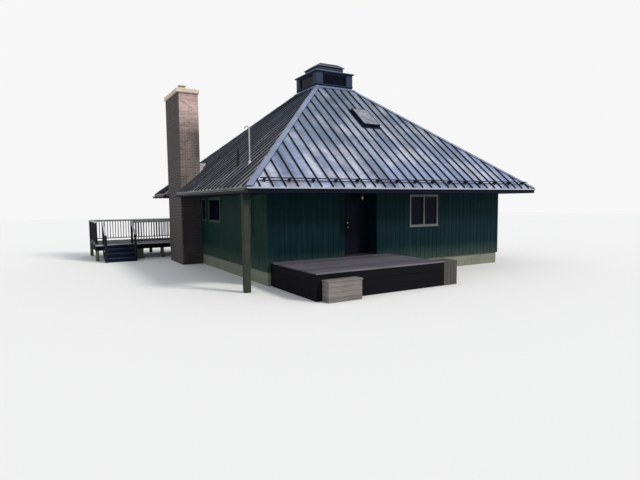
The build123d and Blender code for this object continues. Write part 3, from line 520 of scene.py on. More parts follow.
# Each slope's painted light and shade: its tone at the eave, higher up, in its patches of painted light
# and on the folded edge as painted highlight, then how much the patches cover and how much its panels differ.
roofLightAndShadeTones = {
    "front": ((0.185, 0.23, 0.36), (0.080, 0.118, 0.172), (0.41, 0.42, 0.51), (0.36, 0.38, 0.44), 0.85, 0.26),
    "right": ((0.185, 0.22, 0.32), (0.080, 0.118, 0.172), (0.38, 0.37, 0.42), (0.33, 0.34, 0.38), 0.7, 0.26),
    # The left and back slopes are the darker, shaded copies.
    "left": ((0.138, 0.146, 0.166), (0.030, 0.056, 0.108), (0.30, 0.29, 0.285), (0.115, 0.110, 0.108), 0.85, 0.62),
    "back": ((0.135, 0.142, 0.155), (0.050, 0.070, 0.100), (0.25, 0.25, 0.245), (0.14, 0.14, 0.145), 0.7, 0.4),
}
for side, tones in roofLightAndShadeTones.items():
    finishes[f"roof_{side}"] = roofFinish(f"roofSheet{side.title()}", side, *tones)
print("stage: materials made")

# Finishes of the CAD pieces that stay as they are.
nodeFinishes = {
    "siding": ("back_wall", "left_wall", "right_wall", "front_wall_left", "front_wall_right",
               "front_wall_over_entry", "entry_returns", "entry_wall_side", "entry_wall_over", "corner_boards"),
    "cricket": ("cricket",),
    "rail": ("snow_rail",),
    "shadow": ("skylight_curb",),
    "trim": ("eaves", "door_frame"),
    "lantern": ("lantern_curb", "lantern_head"),
    "lanternPost": ("lantern_posts",),
    "lanternRoof": ("lantern_skirt", "lantern_cap"),
    "mortar": ("chimney",),
    "cap": ("chimney_cap",),
    "flue": ("flue",),
    "foundation": ("foundation",),
    "floor": ("floor",),
    "darkTimber": ("deck_skirt", "rear_deck_rim"),
    "pierTimber": ("rear_deck_posts",),
    "rails": ("rear_rail_back", "rear_rail_ends", "rear_rail_front", "stair_rails"),
    "stairTimber": ("stair_treads", "stair_stringers"),
    "door": ("front_door",),
    "frame": ("window_frames",),
    "glass": ("window_glass",),
    "mast": ("service_mast",),
    "vent": ("vent_pipe",),
    "brass": ("door_knobs", "door_hinges"),
}
nodeFinishes.update({f"roof_{side}": (f"roof_{side}",) for side in turns})
for finish, names in nodeFinishes.items():
    for name in names:
        nodes[name].data.materials.clear()
        nodes[name].data.materials.append(finishes[finish])

# Roof: standing seams over the sheets, hip caps raised on their edges, drip edge and base flashing.
roofing = {
    "panelWidth": 0.4064,
    "seamWidth": 0.032,
    "seamHeight": 0.044,
    "seamFoot": 0.010,
    "seamStart": 0.004,
    "capReach": 0.120,
    "capLift": 0.034,
    "capCrown": 0.012,
    "capSheet": 0.003,
    "capInset": 0.003,
    "foldDrop": 0.004,
    "foldCrown": 0.002,
    "eaveDepth": 0.040,
    "dripDrop": 0.020,
    "dripDepth": 0.022,
    "chimneyJoint": 0.012,
    "collarSheet": 0.004,
    "collarFoot": 0.060,
    "collarRise": 0.030,
    "apronRun": 0.14,
    "apronReach": 0.12,
    "apronTop": 0.050,
    "apronGap": 0.001,
}
skylight = {"x": 0.19, "y": -2.85, "width": 0.78, "length": 1.18, "height": 0.13, "apron": 0.10,
            "paneInset": 0.035, "paneLow": 0.004, "paneHigh": 0.0095, "rimReach": 0.006, "rimWidth": 0.040,
            "rimLow": 0.004, "rimHigh": 0.010, "sheetTop": 0.012, "edge": 0.002}
chimneyZone = {"front": 1.70, "back": 3.90, "joint": 0.01, "cricketRise": 0.52, "wallJoint": 0.02}


def cut(bm, place, normal, clear=False):
    bmesh.ops.bisect_plane(bm, geom=bm.verts[:] + bm.edges[:] + bm.faces[:], dist=1e-6,
                           plane_co=place, plane_no=normal, clear_outer=clear)


def closeEnds(bm):
    bmesh.ops.holes_fill(bm, edges=[edge for edge in bm.edges if edge.is_boundary])


def cutAtHips(bm, gap):
    # Cuts a front piece on the lines of both hips, this far inside them in plan.
    # The ends at the eave are cut upright.
    start = (0, -gap * math.sqrt(2), 0)
    for place, normal in ((start, (1, 1, 0)), (start, (-1, 1, 0)), ((0, -eaveHalf, 0), (0, -1, 0))):
        cut(bm, place, normal, True)
        closeEnds(bm)


def layOnSlope(bm, verts, climb=0):
    # Stands a piece made flat, with its eave edge on Y = 0, on the front slope, this far up it.
    spin(bm, verts, pitch, "X")
    move(bm, verts, (0, climb * math.cos(pitch) - eaveHalf, climb * math.sin(pitch) + eaveHeight))


def clearRectangle(bm, left, right, front, back):
    # Cuts all seams on this rectangle's front and back lines and takes out what stands inside it.
    cut(bm, (0, front, 0), (0, -1, 0))
    cut(bm, (0, back, 0), (0, 1, 0))
    inside = set()
    for face in bm.faces:
        middle = face.calc_center_median()
        if left < middle.x < right and front < middle.y < back:
            inside.add(face)
    doomed = [vert for vert in bm.verts if vert.link_faces and all(face in inside for face in vert.link_faces)]
    bmesh.ops.delete(bm, geom=doomed, context="VERTS")


def openForSkylight(bm):
    half = skylight["width"] / 2 + skylight["apron"]
    reach = (skylight["length"] / 2 + skylight["apron"]) * math.cos(pitch)
    x, y = skylight["x"], skylight["y"]
    clearRectangle(bm, x - half, x + half, y - reach, y + reach)
    closeEnds(bm)


def openForChimney(bm):
    # The chimney and the cricket behind it take the foot of some seams. On the front slope's own
    # axes, before it is turned to the left, the left wall's Y becomes -X.
    crest = wallHalf - chimneyZone["cricketRise"] / slope
    middle = -(chimneyZone["front"] + chimneyZone["back"]) / 2
    half = (chimneyZone["back"] - chimneyZone["front"]) / 2
    reach = half + chimneyZone["joint"]
    clearRectangle(bm, middle - reach, middle + reach, -eaveHalf - 1, -wallHalf)
    for vert in bm.verts:
        inside = 1 - abs(vert.co.x - middle) / half
        if inside > 0 and vert.co.y < chimneyZone["wallJoint"] - wallHalf:
            vert.co.y = -wallHalf + (wallHalf - crest) * inside
            rise = roofing["seamHeight"] if vert.co.z > roofTop(wallHalf) else 0
            vert.co.z = roofTop(-vert.co.y) + rise
    closeEnds(bm)


def buildSeams():
    run = (eaveHalf - lanternHalf) / math.cos(pitch)
    count = round(2 * eaveHalf / roofing["panelWidth"])
    half = roofing["seamWidth"] / 2
    for side in turns:
        bm = bmesh.new()
        for number in range(1, count):
            x = (number - count / 2) * roofing["panelWidth"]
            low = (x - half, roofing["seamStart"], -roofing["seamFoot"])
            layOnSlope(bm, addBox(bm, low, (x + half, run, roofing["seamHeight"])))
        cutAtHips(bm, roofing["capReach"])
        if side == "front":
            openForSkylight(bm)
        if side == "left":
            openForChimney(bm)
        turnVerts(bm, bm.verts[:], side)
        # The front and right slopes take the darker copy of the seams' painted reflection.
        finish = "seamPaintedReflectionFront" if side in ("front", "right") else "seamPaintedReflectionSide"
        makePiece(bm, f"roofSeams_{side}", finish, replaces=(f"roof_seams_{side}",))


def newVerts(grown):
    return [item for item in grown["geom"] if isinstance(item, bmesh.types.BMVert)]


def addHipStrip(bm, side, *outline):
    # Draws an outline at the eave's corner up along the hip, and turns it to its side.
    corner = roofing["capInset"] - eaveHalf
    verts = [bm.verts.new((x + corner, y + corner, z + eaveHeight)) for x, y, z in outline]
    edges = [bm.edges.new(pair) for pair in zip(verts, verts[1:])]
    ends = newVerts(bmesh.ops.extrude_edge_only(bm, edges=edges))
    climb = -corner - lanternHalf
    move(bm, ends, (climb, climb, climb * slope))
    turnVerts(bm, verts + ends, side)


def buildHipCaps():
    # Two wings over each hip, and folds under their edges in painted shadow.
    reach, lift, sheet = roofing["capReach"] * math.sqrt(2), roofing["capLift"], roofing["capSheet"]
    fold, under = reach - sheet, lift - roofing["foldDrop"]
    wings, folds = bmesh.new(), bmesh.new()
    for side in turns:
        addHipStrip(wings, side, (reach, 0, lift), (0, 0, lift + roofing["capCrown"]), (0, reach, lift))
        addHipStrip(folds, side, (fold, 0, 0), (fold, 0, under))
        addHipStrip(folds, side, (0, fold, under), (0, fold, 0))
        addHipStrip(folds, side, (fold, 0, 0), (0, 0, roofing["foldCrown"]), (0, fold, 0))
    makePiece(wings, "hipCaps", "flashing", sheet=sheet, replaces=("hip_caps",))
    makePiece(folds, "hipCapFolds", "shadow", sheet=sheet)


def buildDripEdge():
    # A folded strip under each eave edge in painted shadow, open where the chimney breaks the left eave.
    bm = bmesh.new()
    top = eaveHeight - roofing["eaveDepth"]
    depth, joint = roofing["dripDepth"], roofing["chimneyJoint"]
    for side in turns:
        runs = [(-eaveHalf, eaveHalf - depth)]
        if side == "left":
            runs = [(-eaveHalf, -chimneyHigh.y - joint), (-chimneyLow.y + joint, eaveHalf - depth)]
        for left, right in runs:
            low = (left, -eaveHalf, top - roofing["dripDrop"])
            turnVerts(bm, addBox(bm, low, (right, depth - eaveHalf, top)), side)
    makePiece(bm, "dripEdge", "shadow")


def buildLanternFlashing():
    # An upright collar round the lantern's foot, and an apron on each slope under it.
    bm = bmesh.new()
    outer, run = lanternHalf + roofing["collarSheet"], roofing["apronRun"]
    half = lanternHalf + roofing["apronReach"]
    addRound(bm, (-outer, -outer, peakHeight - roofing["collarFoot"]),
             (lanternHalf, -lanternHalf, peakHeight + roofing["collarRise"]))
    for side in turns:
        apron = addBox(bm, (-half, 0, roofing["apronGap"]), (half, run, roofing["apronTop"]))
        layOnSlope(bm, apron, (eaveHalf - lanternHalf) / math.cos(pitch) - run)
        for vert in apron:
            if abs(vert.co.x) > -vert.co.y:
                vert.co.x = math.copysign(-vert.co.y, vert.co.x)  # mitred on the hip
        turnVerts(bm, apron, side)
    makePiece(bm, "lanternFlashing", "flashing")


buildSeams()
buildHipCaps()
buildDripEdge()
buildLanternFlashing()
print("stage: roof dressed")

# Siding: vertical boards on every outer wall, cut round the openings.
siding = {"pitch": 0.203, "groove": 0.013, "proud": 0.010, "bite": 0.004, "cornerBoard": 0.11, "cornerJoint": 0.01}
lowSill = 0.4  # a window whose sill is under this height reaches down to the floor

# Centre, width, sill and head of each window, and the wide gaps at the entry and the chimney.
windows = {
    "front": [(1.185, 1.40, 1.68, 2.85)],
    "left": [(0.12, 1.48, 1.88, 2.84), (-1.29, 0.62, 1.88, 2.84)],
    "right": [(-2.2, 1.40, 1.68, 2.85), (2.2, 1.40, 1.68, 2.85)],
    "back": [(-2.3, 1.40, 1.68, 2.85), (1.9, 1.80, 0.76, 2.861)],
}
gapsInSiding = {"front": (-2.59, -1.03), "left": (-3.90, -1.70)}


def addBoards(bm, left, right, bottom, top, face=-wallHalf):
    made = []
    for number in range(math.floor(left / siding["pitch"]), math.ceil(right / siding["pitch"])):
        start = max(left, number * siding["pitch"] + siding["groove"] / 2)
        end = min(right, (number + 1) * siding["pitch"] - siding["groove"] / 2)
        if end - start > siding["bite"]:
            made += addBox(bm, (start, face - siding["proud"], bottom), (end, face + siding["bite"], top))
    return made


def buildSiding(side):
    edge = -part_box("corner_boards")[0].x - siding["cornerBoard"]
    bm = bmesh.new()
    stops = [(centre - width / 2, centre + width / 2, sill, head) for centre, width, sill, head in windows[side]]
    if side in gapsInSiding:
        stops.append((*gapsInSiding[side], None, None))
    start = -edge
    for left, right, sill, head in sorted(stops, key=lambda stop: stop[0]):
        addBoards(bm, start, left, sidingBottom, soffitHeight)
        if sill is not None:
            if sill - sidingBottom > lowSill:
                addBoards(bm, left, right, sidingBottom, sill)
            addBoards(bm, left, right, head, soffitHeight)
        start = right
    addBoards(bm, start, edge, sidingBottom, soffitHeight)
    turnVerts(bm, bm.verts[:], side)
    makePiece(bm, f"sidingBoards_{side}", "siding")


def buildEntrySiding():
    # The same boards inside the entry recess: left and right of it, and beside the door.
    frameLow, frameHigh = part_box("door_frame")
    left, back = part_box("entry_wall_side")[0].x, frameLow.y
    bm = bmesh.new()
    addBoards(bm, left + siding["cornerJoint"], frameLow.x, floorHeight, soffitHeight, back)
    for x, y, angle in ((left, -wallHalf, 90), (frameHigh.x, back, -90)):
        verts = addBoards(bm, 0.0, back + wallHalf, floorHeight, soffitHeight, 0.0)
        spin(bm, verts, math.radians(angle))
        move(bm, verts, (x, y, 0))
    makePiece(bm, "entryBoards", "siding")


for side in turns:
    buildSiding(side)
buildEntrySiding()
print("stage: siding laid")

# Windows: an inner sash with its bar in every pane, an outer sill and a drip strip.
sash = {"casing": 0.016, "frame": 0.062, "width": 0.030, "front": 0.026, "back": 0.050, "edge": 0.003,
        "sillReach": 0.020, "sillDrop": 0.020, "sillRise": 0.018, "stripReach": 0.012, "stripRise": 0.014,
        "depth": 0.03}


def buildSashes():
    sashes, sills = bmesh.new(), bmesh.new()
    outer, frameWidth = -wallHalf - sash["casing"], sash["frame"]
    for side, holes in windows.items():
        for centre, width, sill, head in holes:
            start, end = centre - width / 2, centre + width / 2
            panes = 1 if side == "left" else 2
            pane = (width - (panes + 1) * frameWidth) / panes
            for number in range(panes):
                left = start + frameWidth + number * (pane + frameWidth)
                ring = addRing(sashes, left, left + pane, sill + frameWidth, head - frameWidth, sash["width"],
                               outer + sash["front"], outer + sash["back"])
                turnVerts(sashes, ring, side)
            strips = [(sash["stripReach"], head, head + sash["stripRise"])]
            if sill - floorHeight > lowSill:
                strips.append((sash["sillReach"], sill - sash["sillDrop"], sill + sash["sillRise"]))
            for reach, low, high in strips:
                strip = addBox(sills, (start - reach, outer - reach, low), (end + reach, outer + sash["depth"], high))
                turnVerts(sills, strip, side)
    makePiece(sashes, "windowSashes", "sash", sash["edge"])
    makePiece(sills, "windowSills", "frame", sash["edge"])


buildSashes()
print("stage: windows fitted")

# Lantern: sashes, a nosed sill, corner boards and pale folded edges on its two roofs.
lanternTrim = {"opening": 0.607, "sash": 0.035, "sashFront": 0.018, "sashBack": 0.050, "nose": 0.022,
               "noseDrop": 0.030, "noseRise": 0.006, "noseDepth": 0.020, "board": 0.012, "boardBite": 0.004,
               "headBoard": 0.055, "skirtEdge": 0.045, "capRise": 0.150, "fold": 0.016, "foldOut": 0.004,
               "foldBite": 0.002, "foldTop": 0.001, "edge": 0.003}


def buildLantern():
    half, opening = lanternHalf, lanternTrim["opening"]
    nose, outer, inner = half + lanternTrim["nose"], -half - lanternTrim["board"], lanternTrim["boardBite"] - half
    foot, head = lanternSill + lanternTrim["noseRise"], lanternTop - lanternTrim["headBoard"]
    sashes, boards, corners, folds = (bmesh.new() for number in range(4))
    for side in turns:
        ring = addRing(sashes, -opening, opening, lanternSill, lanternHead, lanternTrim["sash"],
                       lanternTrim["sashFront"] - half, lanternTrim["sashBack"] - half)
        turnVerts(sashes, ring, side)
    addRound(boards, (-nose, -nose, lanternSill - lanternTrim["noseDrop"]),
             (nose, lanternTrim["noseDepth"] - half, foot))
    addRound(boards, (outer, outer, head), (half, inner, lanternTop))
    for left, right in ((outer, -opening), (opening, half)):
        addRound(corners, (left, outer, foot), (right, inner, head))
    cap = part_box("lantern_cap")[1]
    for reach, top in ((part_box("lantern_skirt")[1].x, lanternTop + lanternTrim["skirtEdge"]),
                       (cap.x, cap.z - lanternTrim["capRise"])):
        out = -reach - lanternTrim["foldOut"]
        addRound(folds, (out, out, top - lanternTrim["fold"]),
                 (reach, lanternTrim["foldBite"] - reach, top + lanternTrim["foldTop"]))
    makePiece(sashes, "lanternSashes", "sash", lanternTrim["edge"])
    makePiece(boards, "lanternTrimBoards", "lantern")
    makePiece(corners, "lanternCornerBoards", "lanternPost", lanternTrim["edge"])
    makePiece(folds, "lanternRoofEdges", "lanternEdge")


buildLantern()
print("stage: lantern dressed")

# Chimney: bricks in running bond over a core of mortar.
bricks = {"length": 0.194, "height": 0.057, "joint": 0.0097, "proud": 0.004, "edge": 0.0025, "depth": 0.02,
          "shortest": 0.03, "underRoof": 0.2, "batchShare": 0.4}


def buildBricks():
    low, high = chimneyLow, chimneyHigh
    joint, proud, depth = bricks["joint"], bricks["proud"], bricks["depth"]
    course, module = bricks["height"] + joint, bricks["length"] + joint
    roofLine = roofTop(wallHalf)
    # The axis that each face runs along, and how far its bricks reach out and in.
    faces = {"front": (0, low.y - proud, low.y + depth), "back": (0, high.y - depth, high.y + proud),
             "left": (1, low.x - proud, low.x + depth), "right": (1, high.x - depth, high.x + proud)}
    bm = bmesh.new()
    for number in range(math.floor((high.z - low.z) / course)):
        bottom = low.z + number * course + joint / 2
        top = bottom + bricks["height"]
        batch = rng.random()
        for face, (along, front, back) in faces.items():
            if face == "right" and bottom < roofLine - bricks["underRoof"]:
                continue
            start, end = low[along] + depth + joint, high[along] - depth - joint
            if along == 0:
                start, end = low.x - proud, high.x + (proud if bottom > roofLine else 0)
            spot = start - (number % 2) * module / 2
            while spot < end - bricks["shortest"]:
                left, right = max(start, spot), min(end, spot + bricks["length"])
                spot += module
                if right - left < bricks["shortest"]:
                    continue
                tone = (1 - bricks["batchShare"]) * rng.random() + bricks["batchShare"] * batch
                if along == 0:
                    addBox(bm, (left, front, bottom), (right, back, top), tone)
                else:
                    addBox(bm, (front, left, bottom), (back, right, top), tone)
    makePiece(bm, "chimneyBricks", "brick", bricks["edge"])


buildBricks()
print("stage: chimney laid")

# Decks: boards with gaps in place of each plate, a boarded skirt, a step and a corner box.
decking = {"board": 0.138, "gap": 0.006, "wear": 0.0015, "edge": 0.004, "wallJoint": 0.012,
           "nosingOut": 0.004, "nosingWidth": 0.060, "nosingDrop": 0.036, "nosingRise": 0.003, "nosingEdge": 0.003}
skirt = {"rows": 3, "gap": 0.003, "proud": 0.012, "bite": 0.005, "mitre": 0.006, "short": 0.05, "edge": 0.003}
frontStep = {"tread": 0.038, "rows": 4, "gap": 0.006, "inset": 0.02, "edge": 0.004}
cornerBox = {"boards": 4, "board": 0.04, "inset": 0.005, "gap": 0.002, "lidGap": 0.005, "core": 0.03,
             "coreFoot": 0.01, "coreTone": 0.3, "tones": (0.4, 0.65), "edge": 0.004}


def addDeckBoards(bm, low, high, along):
    # Fills a plate with boards that run along X (0) or Y (1).
    across = 1 - along
    gap = decking["gap"]
    span = high[across] - low[across] + gap
    count = round(span / (decking["board"] + gap))
    width = span / count - gap
    for number in range(count):
        start = low[across] + number * (width + gap)
        corner, end = [0, 0, low[2]], [0, 0, high[2] - rng.uniform(0, decking["wear"])]
        corner[across], end[across] = start, start + width
        corner[along], end[along] = low[along], high[along]
        addBox(bm, corner, end, rng.random())


def buildDecks():
    low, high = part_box("front_deck")
    bm = bmesh.new()
    addDeckBoards(bm, low, (high.x, high.y - decking["wallJoint"], high.z), 0)
    makePiece(bm, "frontDeckBoards", "deck", decking["edge"], replaces=("front_deck",))
    bm = bmesh.new()
    addBox(bm, (low.x, low.y - decking["nosingOut"], high.z - decking["nosingDrop"]),
           (high.x, low.y + decking["nosingWidth"], high.z + decking["nosingRise"]))
    makePiece(bm, "frontDeckNosing", "deckEdge", decking["nosingEdge"])
    bm = bmesh.new()
    addDeckBoards(bm, *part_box("rear_deck"), 1)
    makePiece(bm, "rearDeckBoards", "rearDeck", decking["edge"], replaces=("rear_deck",))


def buildSkirt():
    low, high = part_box("deck_skirt")
    out, bite = skirt["proud"], skirt["bite"]
    front, back = low.y + skirt["mitre"], high.y - skirt["short"]
    height = (high.z - low.z) / skirt["rows"]
    bm = bmesh.new()
    for row in range(skirt["rows"]):
        bottom = low.z + row * height + skirt["gap"]
        top = bottom + height - 2 * skirt["gap"]
        addBox(bm, (low.x - out, low.y - out, bottom), (high.x + out, low.y + bite, top))
        addBox(bm, (low.x - out, front, bottom), (low.x + bite, back, top))
        addBox(bm, (high.x - bite, front, bottom), (high.x + out, back, top))
    makePiece(bm, "deckSkirtBoards", "darkTimber", skirt["edge"])


def buildStep():
    low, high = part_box("deck_step")
    under, inset = high.z - frontStep["tread"], frontStep["inset"]
    bm = bmesh.new()
    addDeckBoards(bm, (low.x, low.y, under), high, 0)
    height = (under - low.z) / frontStep["rows"]
    for row in range(frontStep["rows"]):
        bottom, top = low.z + row * height, low.z + (row + 1) * height - frontStep["gap"]
        addBox(bm, (low.x + inset, low.y + inset, bottom), (high.x - inset, high.y, top), rng.random())
    makePiece(bm, "deckStepBoards", "step", frontStep["edge"], replaces=("deck_step",))


def buildCornerBox():
    low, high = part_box("deck_box")
    count, board, inset, gap = cornerBox["boards"], cornerBox["board"], cornerBox["inset"], cornerBox["gap"]
    tones, core, lidGap = cornerBox["tones"], cornerBox["core"], cornerBox["lidGap"]
    top = high.z - board
    width, depth = (high.x - low.x) / count, (high.y - low.y - 2 * board) / count
    bm = bmesh.new()
    for number in range(count):
        start = low.x + number * width
        for front, back in ((low.y + inset, low.y + board), (high.y - board, high.y - inset)):
            addBox(bm, (start + gap, front, low.z), (start + width - gap, back, top), rng.uniform(*tones))
        start = low.y + board + number * depth
        for left, right in ((low.x + gap, low.x + board), (high.x - board, high.x - inset)):
            addBox(bm, (left, start + gap, low.z), (right, start + depth - gap, top), rng.uniform(*tones))
    addBox(bm, (low.x + core, low.y + core, low.z + cornerBox["coreFoot"]),
           (high.x - core, high.y - core, top - lidGap), cornerBox["coreTone"])
    width = (high.y - low.y) / count
    for number in range(count):
        start = low.y + number * width
        addBox(bm, (low.x, start, top), (high.x, start + width - lidGap, high.z), rng.random())
    makePiece(bm, "cornerBoxBoards", "box", cornerBox["edge"], replaces=("deck_box",))


buildDecks()
buildSkirt()
buildStep()
buildCornerBox()
print("stage: decks boarded")

# Rear stair: closed risers, nosings, pale boards on its sloping rails and along the deck's front edge, where the pale
# lavender tone is partly painted sky light.
rearTrim = {"treads": 3, "riser": 0.02, "deckBoard": 0.038, "tread": 0.045, "riserEdge": 0.003, "noseOut": 0.006,
            "noseWidth": 0.05, "noseDrop": 0.03, "noseRise": 0.006, "noseEdge": 0.004, "railPost": 0.095,
            "railBoard": 0.090, "railThickness": 0.024, "railBite": 0.002, "railEdge": 0.005,
            "rimBoard": 0.058, "rimOut": 0.010, "rimJoint": 0.0005, "rimTop": 0.002, "rimEdge": 0.003}


def buildRearTrim():
    low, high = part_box("stair_treads")
    treads = rearTrim["treads"]
    tread, rise = (high.y - low.y) / treads, floorHeight / (treads + 1)
    risers, nosings, handrails, rim = (bmesh.new() for number in range(4))
    for number in range(treads + 1):
        back, level = high.y - number * tread, floorHeight - number * rise
        top = level - rearTrim["tread" if number else "deckBoard"]
        addBox(risers, (low.x, back - rearTrim["riser"], top - rise + rearTrim["tread"]), (high.x, back, top))
        if number:
            addBox(nosings, (low.x, back - rearTrim["noseOut"], level - rearTrim["noseDrop"]),
                   (high.x, back + rearTrim["noseWidth"], level + rearTrim["noseRise"]))
    railLow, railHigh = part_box("stair_rails")
    half, postHalf, tilt = rearTrim["railBoard"] / 2, rearTrim["railPost"] / 2, math.atan2(rise, tread)
    for x in (railLow.x + postHalf, railHigh.x - postHalf):
        board = addBox(handrails, (-half, 0, -rearTrim["railBite"]),
                       (half, treads * tread / math.cos(tilt), rearTrim["railThickness"]))
        spin(handrails, board, tilt, "X")
        move(handrails, board, (x, high.y - treads * tread, railHigh.z - treads * rise))
    rimLow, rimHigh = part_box("rear_deck_rim")
    addBox(rim, (rimLow.x, rimLow.y - rearTrim["rimOut"], floorHeight - rearTrim["rimBoard"]),
           (rimHigh.x, rimLow.y - rearTrim["rimJoint"], floorHeight - rearTrim["rimTop"]))
    makePiece(risers, "stairRisers", "stairTimber", rearTrim["riserEdge"])
    makePiece(nosings, "stairNosings", "treadTimber", rearTrim["noseEdge"])
    makePiece(handrails, "handrailBoards", "handrail", rearTrim["railEdge"])
    makePiece(rim, "rearDeckEdge", "rearEdge", rearTrim["rimEdge"])


buildRearTrim()
print("stage: rear deck trimmed")

# Corner post: chamfered timber with a boxed head.
post = {"width": 0.19, "chamfer": 0.014, "tone": 0.55, "headHeight": 0.19, "headBoard": 0.02, "headJoint": 0.001,
        "headEdge": 0.003}


def buildCornerPost():
    low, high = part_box("corner_post")
    middle = ((low.x + high.x) / 2, (low.y + high.y) / 2, 0)
    inset, board = (high.x - low.x - post["width"]) / 2, post["headBoard"]
    shaft, head = bmesh.new(), bmesh.new()
    addBox(shaft, (low.x + inset, low.y + inset, low.z), (high.x - inset, high.y - inset, high.z), post["tone"])
    chamfer(shaft, post["chamfer"], 2)
    for turn in range(4):
        side = addBox(head, (low.x, low.y, high.z - post["headHeight"]),
                      (high.x - board, low.y + board, high.z - post["headJoint"]))
        spin(head, side, math.radians(90 * turn), centre=middle)
    makePiece(head, "cornerPostHead", "postHead", post["headEdge"])
    makePiece(shaft, "cornerPostTimber", "post", replaces=("corner_post",))


buildCornerPost()

# Gutter: a rolled front lip and hangers in place of the plain trough.
gutter = {"sheet": 0.003, "foot": 0.035, "bend": (0.012, 0.030), "neck": (0.006, 0.018), "lipDepth": 0.012,
          "lip": 0.018, "lipOut": 0.002, "lipEdge": 0.003, "hangerPitch": 0.61, "hangerEnd": 0.1,
          "hangerHalf": 0.012, "hangerStart": 0.004, "hangerTop": 0.004, "hangerSheet": 0.004}


def buildGutter():
    low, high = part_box("left_gutter")
    joint, bend, neck = roofing["chimneyJoint"], gutter["bend"], gutter["neck"]
    lipFoot, hangerTop = high.z - gutter["lipDepth"], high.z - gutter["hangerTop"]
    outline = [(high.x, high.z), (high.x, low.z), (low.x + gutter["foot"], low.z), (low.x + bend[0], low.z + bend[1]),
               (low.x + neck[0], high.z - neck[1]), (low.x, lipFoot), (low.x, high.z)]
    trough, lips, hangers = bmesh.new(), bmesh.new(), bmesh.new()
    for start, end in ((low.y, chimneyLow.y - joint), (chimneyHigh.y + joint, high.y)):
        section = trough.faces.new([trough.verts.new((x, start, z)) for x, z in outline])
        grown = bmesh.ops.extrude_face_region(trough, geom=[section], use_keep_orig=True)
        move(trough, newVerts(grown), (0, end - start, 0))
        addBox(lips, (low.x - gutter["lipOut"], start, lipFoot),
               (low.x + gutter["lip"], end, high.z + gutter["lipOut"]))
        count = math.floor((end - start) / gutter["hangerPitch"])
        for number in range(count + 1):
            y = start + gutter["hangerEnd"] + number * (end - start - 2 * gutter["hangerEnd"]) / count
            addBox(hangers, (low.x + gutter["hangerStart"], y - gutter["hangerHalf"], hangerTop - gutter["hangerSheet"]),
                   (high.x, y + gutter["hangerHalf"], hangerTop))
    lid = [face for face in trough.faces if all(abs(vert.co.z - high.z) < 1e-5 for vert in face.verts)]
    bmesh.ops.delete(trough, geom=lid, context="FACES_ONLY")
    makePiece(trough, "gutterTrough", "gutter", sheet=gutter["sheet"], replaces=("left_gutter",))
    # The pale lip is a painted highlight.
    makePiece(lips, "gutterLips", "gutterLip", gutter["lipEdge"])
    makePiece(hangers, "gutterHangers", "gutter")


buildGutter()
print("stage: post and gutter made")

# Fittings on the roof: boots round the mast and the vent pipe, the mast's straps, the skylight's
# glass, rim and apron. Each pipe has its place and its radius.
pipes = {"mast": (-5.33, -4.15, 0.024), "vent": (-5.29, -2.95, 0.045)}
boot = {"length": 0.15, "width": 0.11, "plate": 0.006, "foot": 0.06, "rise": 0.12, "flare": 1.9, "flareOut": 0.02,
        "neckOut": 0.006, "sides": 20}
strap = {"heights": (1.75, 2.65), "half": 0.02, "armHalf": 0.012, "thickness": 0.005, "wallJoint": 0.002}


def buildBoots():
    for name, finish in (("mast", "hatch"), ("vent", "vent")):
        x, y, radius = pipes[name]
        z = roofTop(-x)
        bm = bmesh.new()
        plate = addBox(bm, (-boot["length"], -boot["width"], 0.0), (boot["length"], boot["width"], boot["plate"]))
        spin(bm, plate, -pitch, "Y")
        move(bm, plate, (x, y, z))
        addTube(bm, (x, y, z - boot["foot"]), (x, y, z + boot["rise"]), boot["sides"],
                radius * boot["flare"] + boot["flareOut"], radius + boot["neckOut"])
        makePiece(bm, f"{name}Boot", finish)
    bm = bmesh.new()
    x, y, radius = pipes["mast"]
    arm = strap["armHalf"]
    for z in strap["heights"]:
        low, high = z - strap["half"], z + strap["half"]
        addTube(bm, (x, y, low), (x, y, high), boot["sides"], radius + strap["thickness"])
        addBox(bm, (x, y - arm, low), (-wallHalf - strap["wallJoint"], y + arm, high))
    makePiece(bm, "mastStraps", "mast")


def buildSkylight():
    half, reach, apron, top = skylight["width"] / 2, skylight["length"] / 2, skylight["apron"], skylight["height"]
    inset, out = skylight["paneInset"], skylight["rimReach"]
    sheet, rim, pane = bmesh.new(), bmesh.new(), bmesh.new()
    addBox(sheet, (-half - apron, -reach - apron, roofing["apronGap"]),
           (half + apron, reach + apron, skylight["sheetTop"]))
    addBox(pane, (inset - half, inset - reach, top + skylight["paneLow"]),
           (half - inset, reach - inset, top + skylight["paneHigh"]))
    addRing(rim, -half - out, half + out, -reach - out, reach + out, skylight["rimWidth"],
            -skylight["rimHigh"], skylight["rimLow"])
    spin(rim, rim.verts[:], math.radians(-90), "X")
    move(rim, rim.verts[:], (0, 0, top))
    for bm, name, finish, slot in ((sheet, "skylightApron", "lantern", "flashing"),
                                   (rim, "skylightRim", "shadow", "flashing"),
                                   (pane, "skylightPane", "skyGlass", "window_glass")):
        chamfer(bm, skylight["edge"])
        spin(bm, bm.verts[:], pitch, "X")
        move(bm, bm.verts[:], (skylight["x"], skylight["y"], roofTop(-skylight["y"])))
        makePiece(bm, name, finish)


buildBoots()
buildSkylight()
print("stage: roof fittings made")

# Entry: raised door mouldings, rose plates, casing and the porch lamp.
leaf = {"margin": 0.13, "rows": 3, "mould": 0.018, "mouldOut": 0.004, "mouldIn": 0.010, "panelInset": 0.045,
        "panelSunk": 0.002, "panelIn": 0.02, "edge": 0.004}
rose = {"radius": 0.032, "sides": 28, "lockRise": 0.16, "lockRadius": 0.024, "lockSides": 24, "out": 0.005,
        "bite": 0.001, "edge": 0.001}
casing = {"left": 0.06, "over": 0.02, "head": 0.03, "out": 0.018, "bite": 0.004, "rightJoint": 0.012, "edge": 0.003}


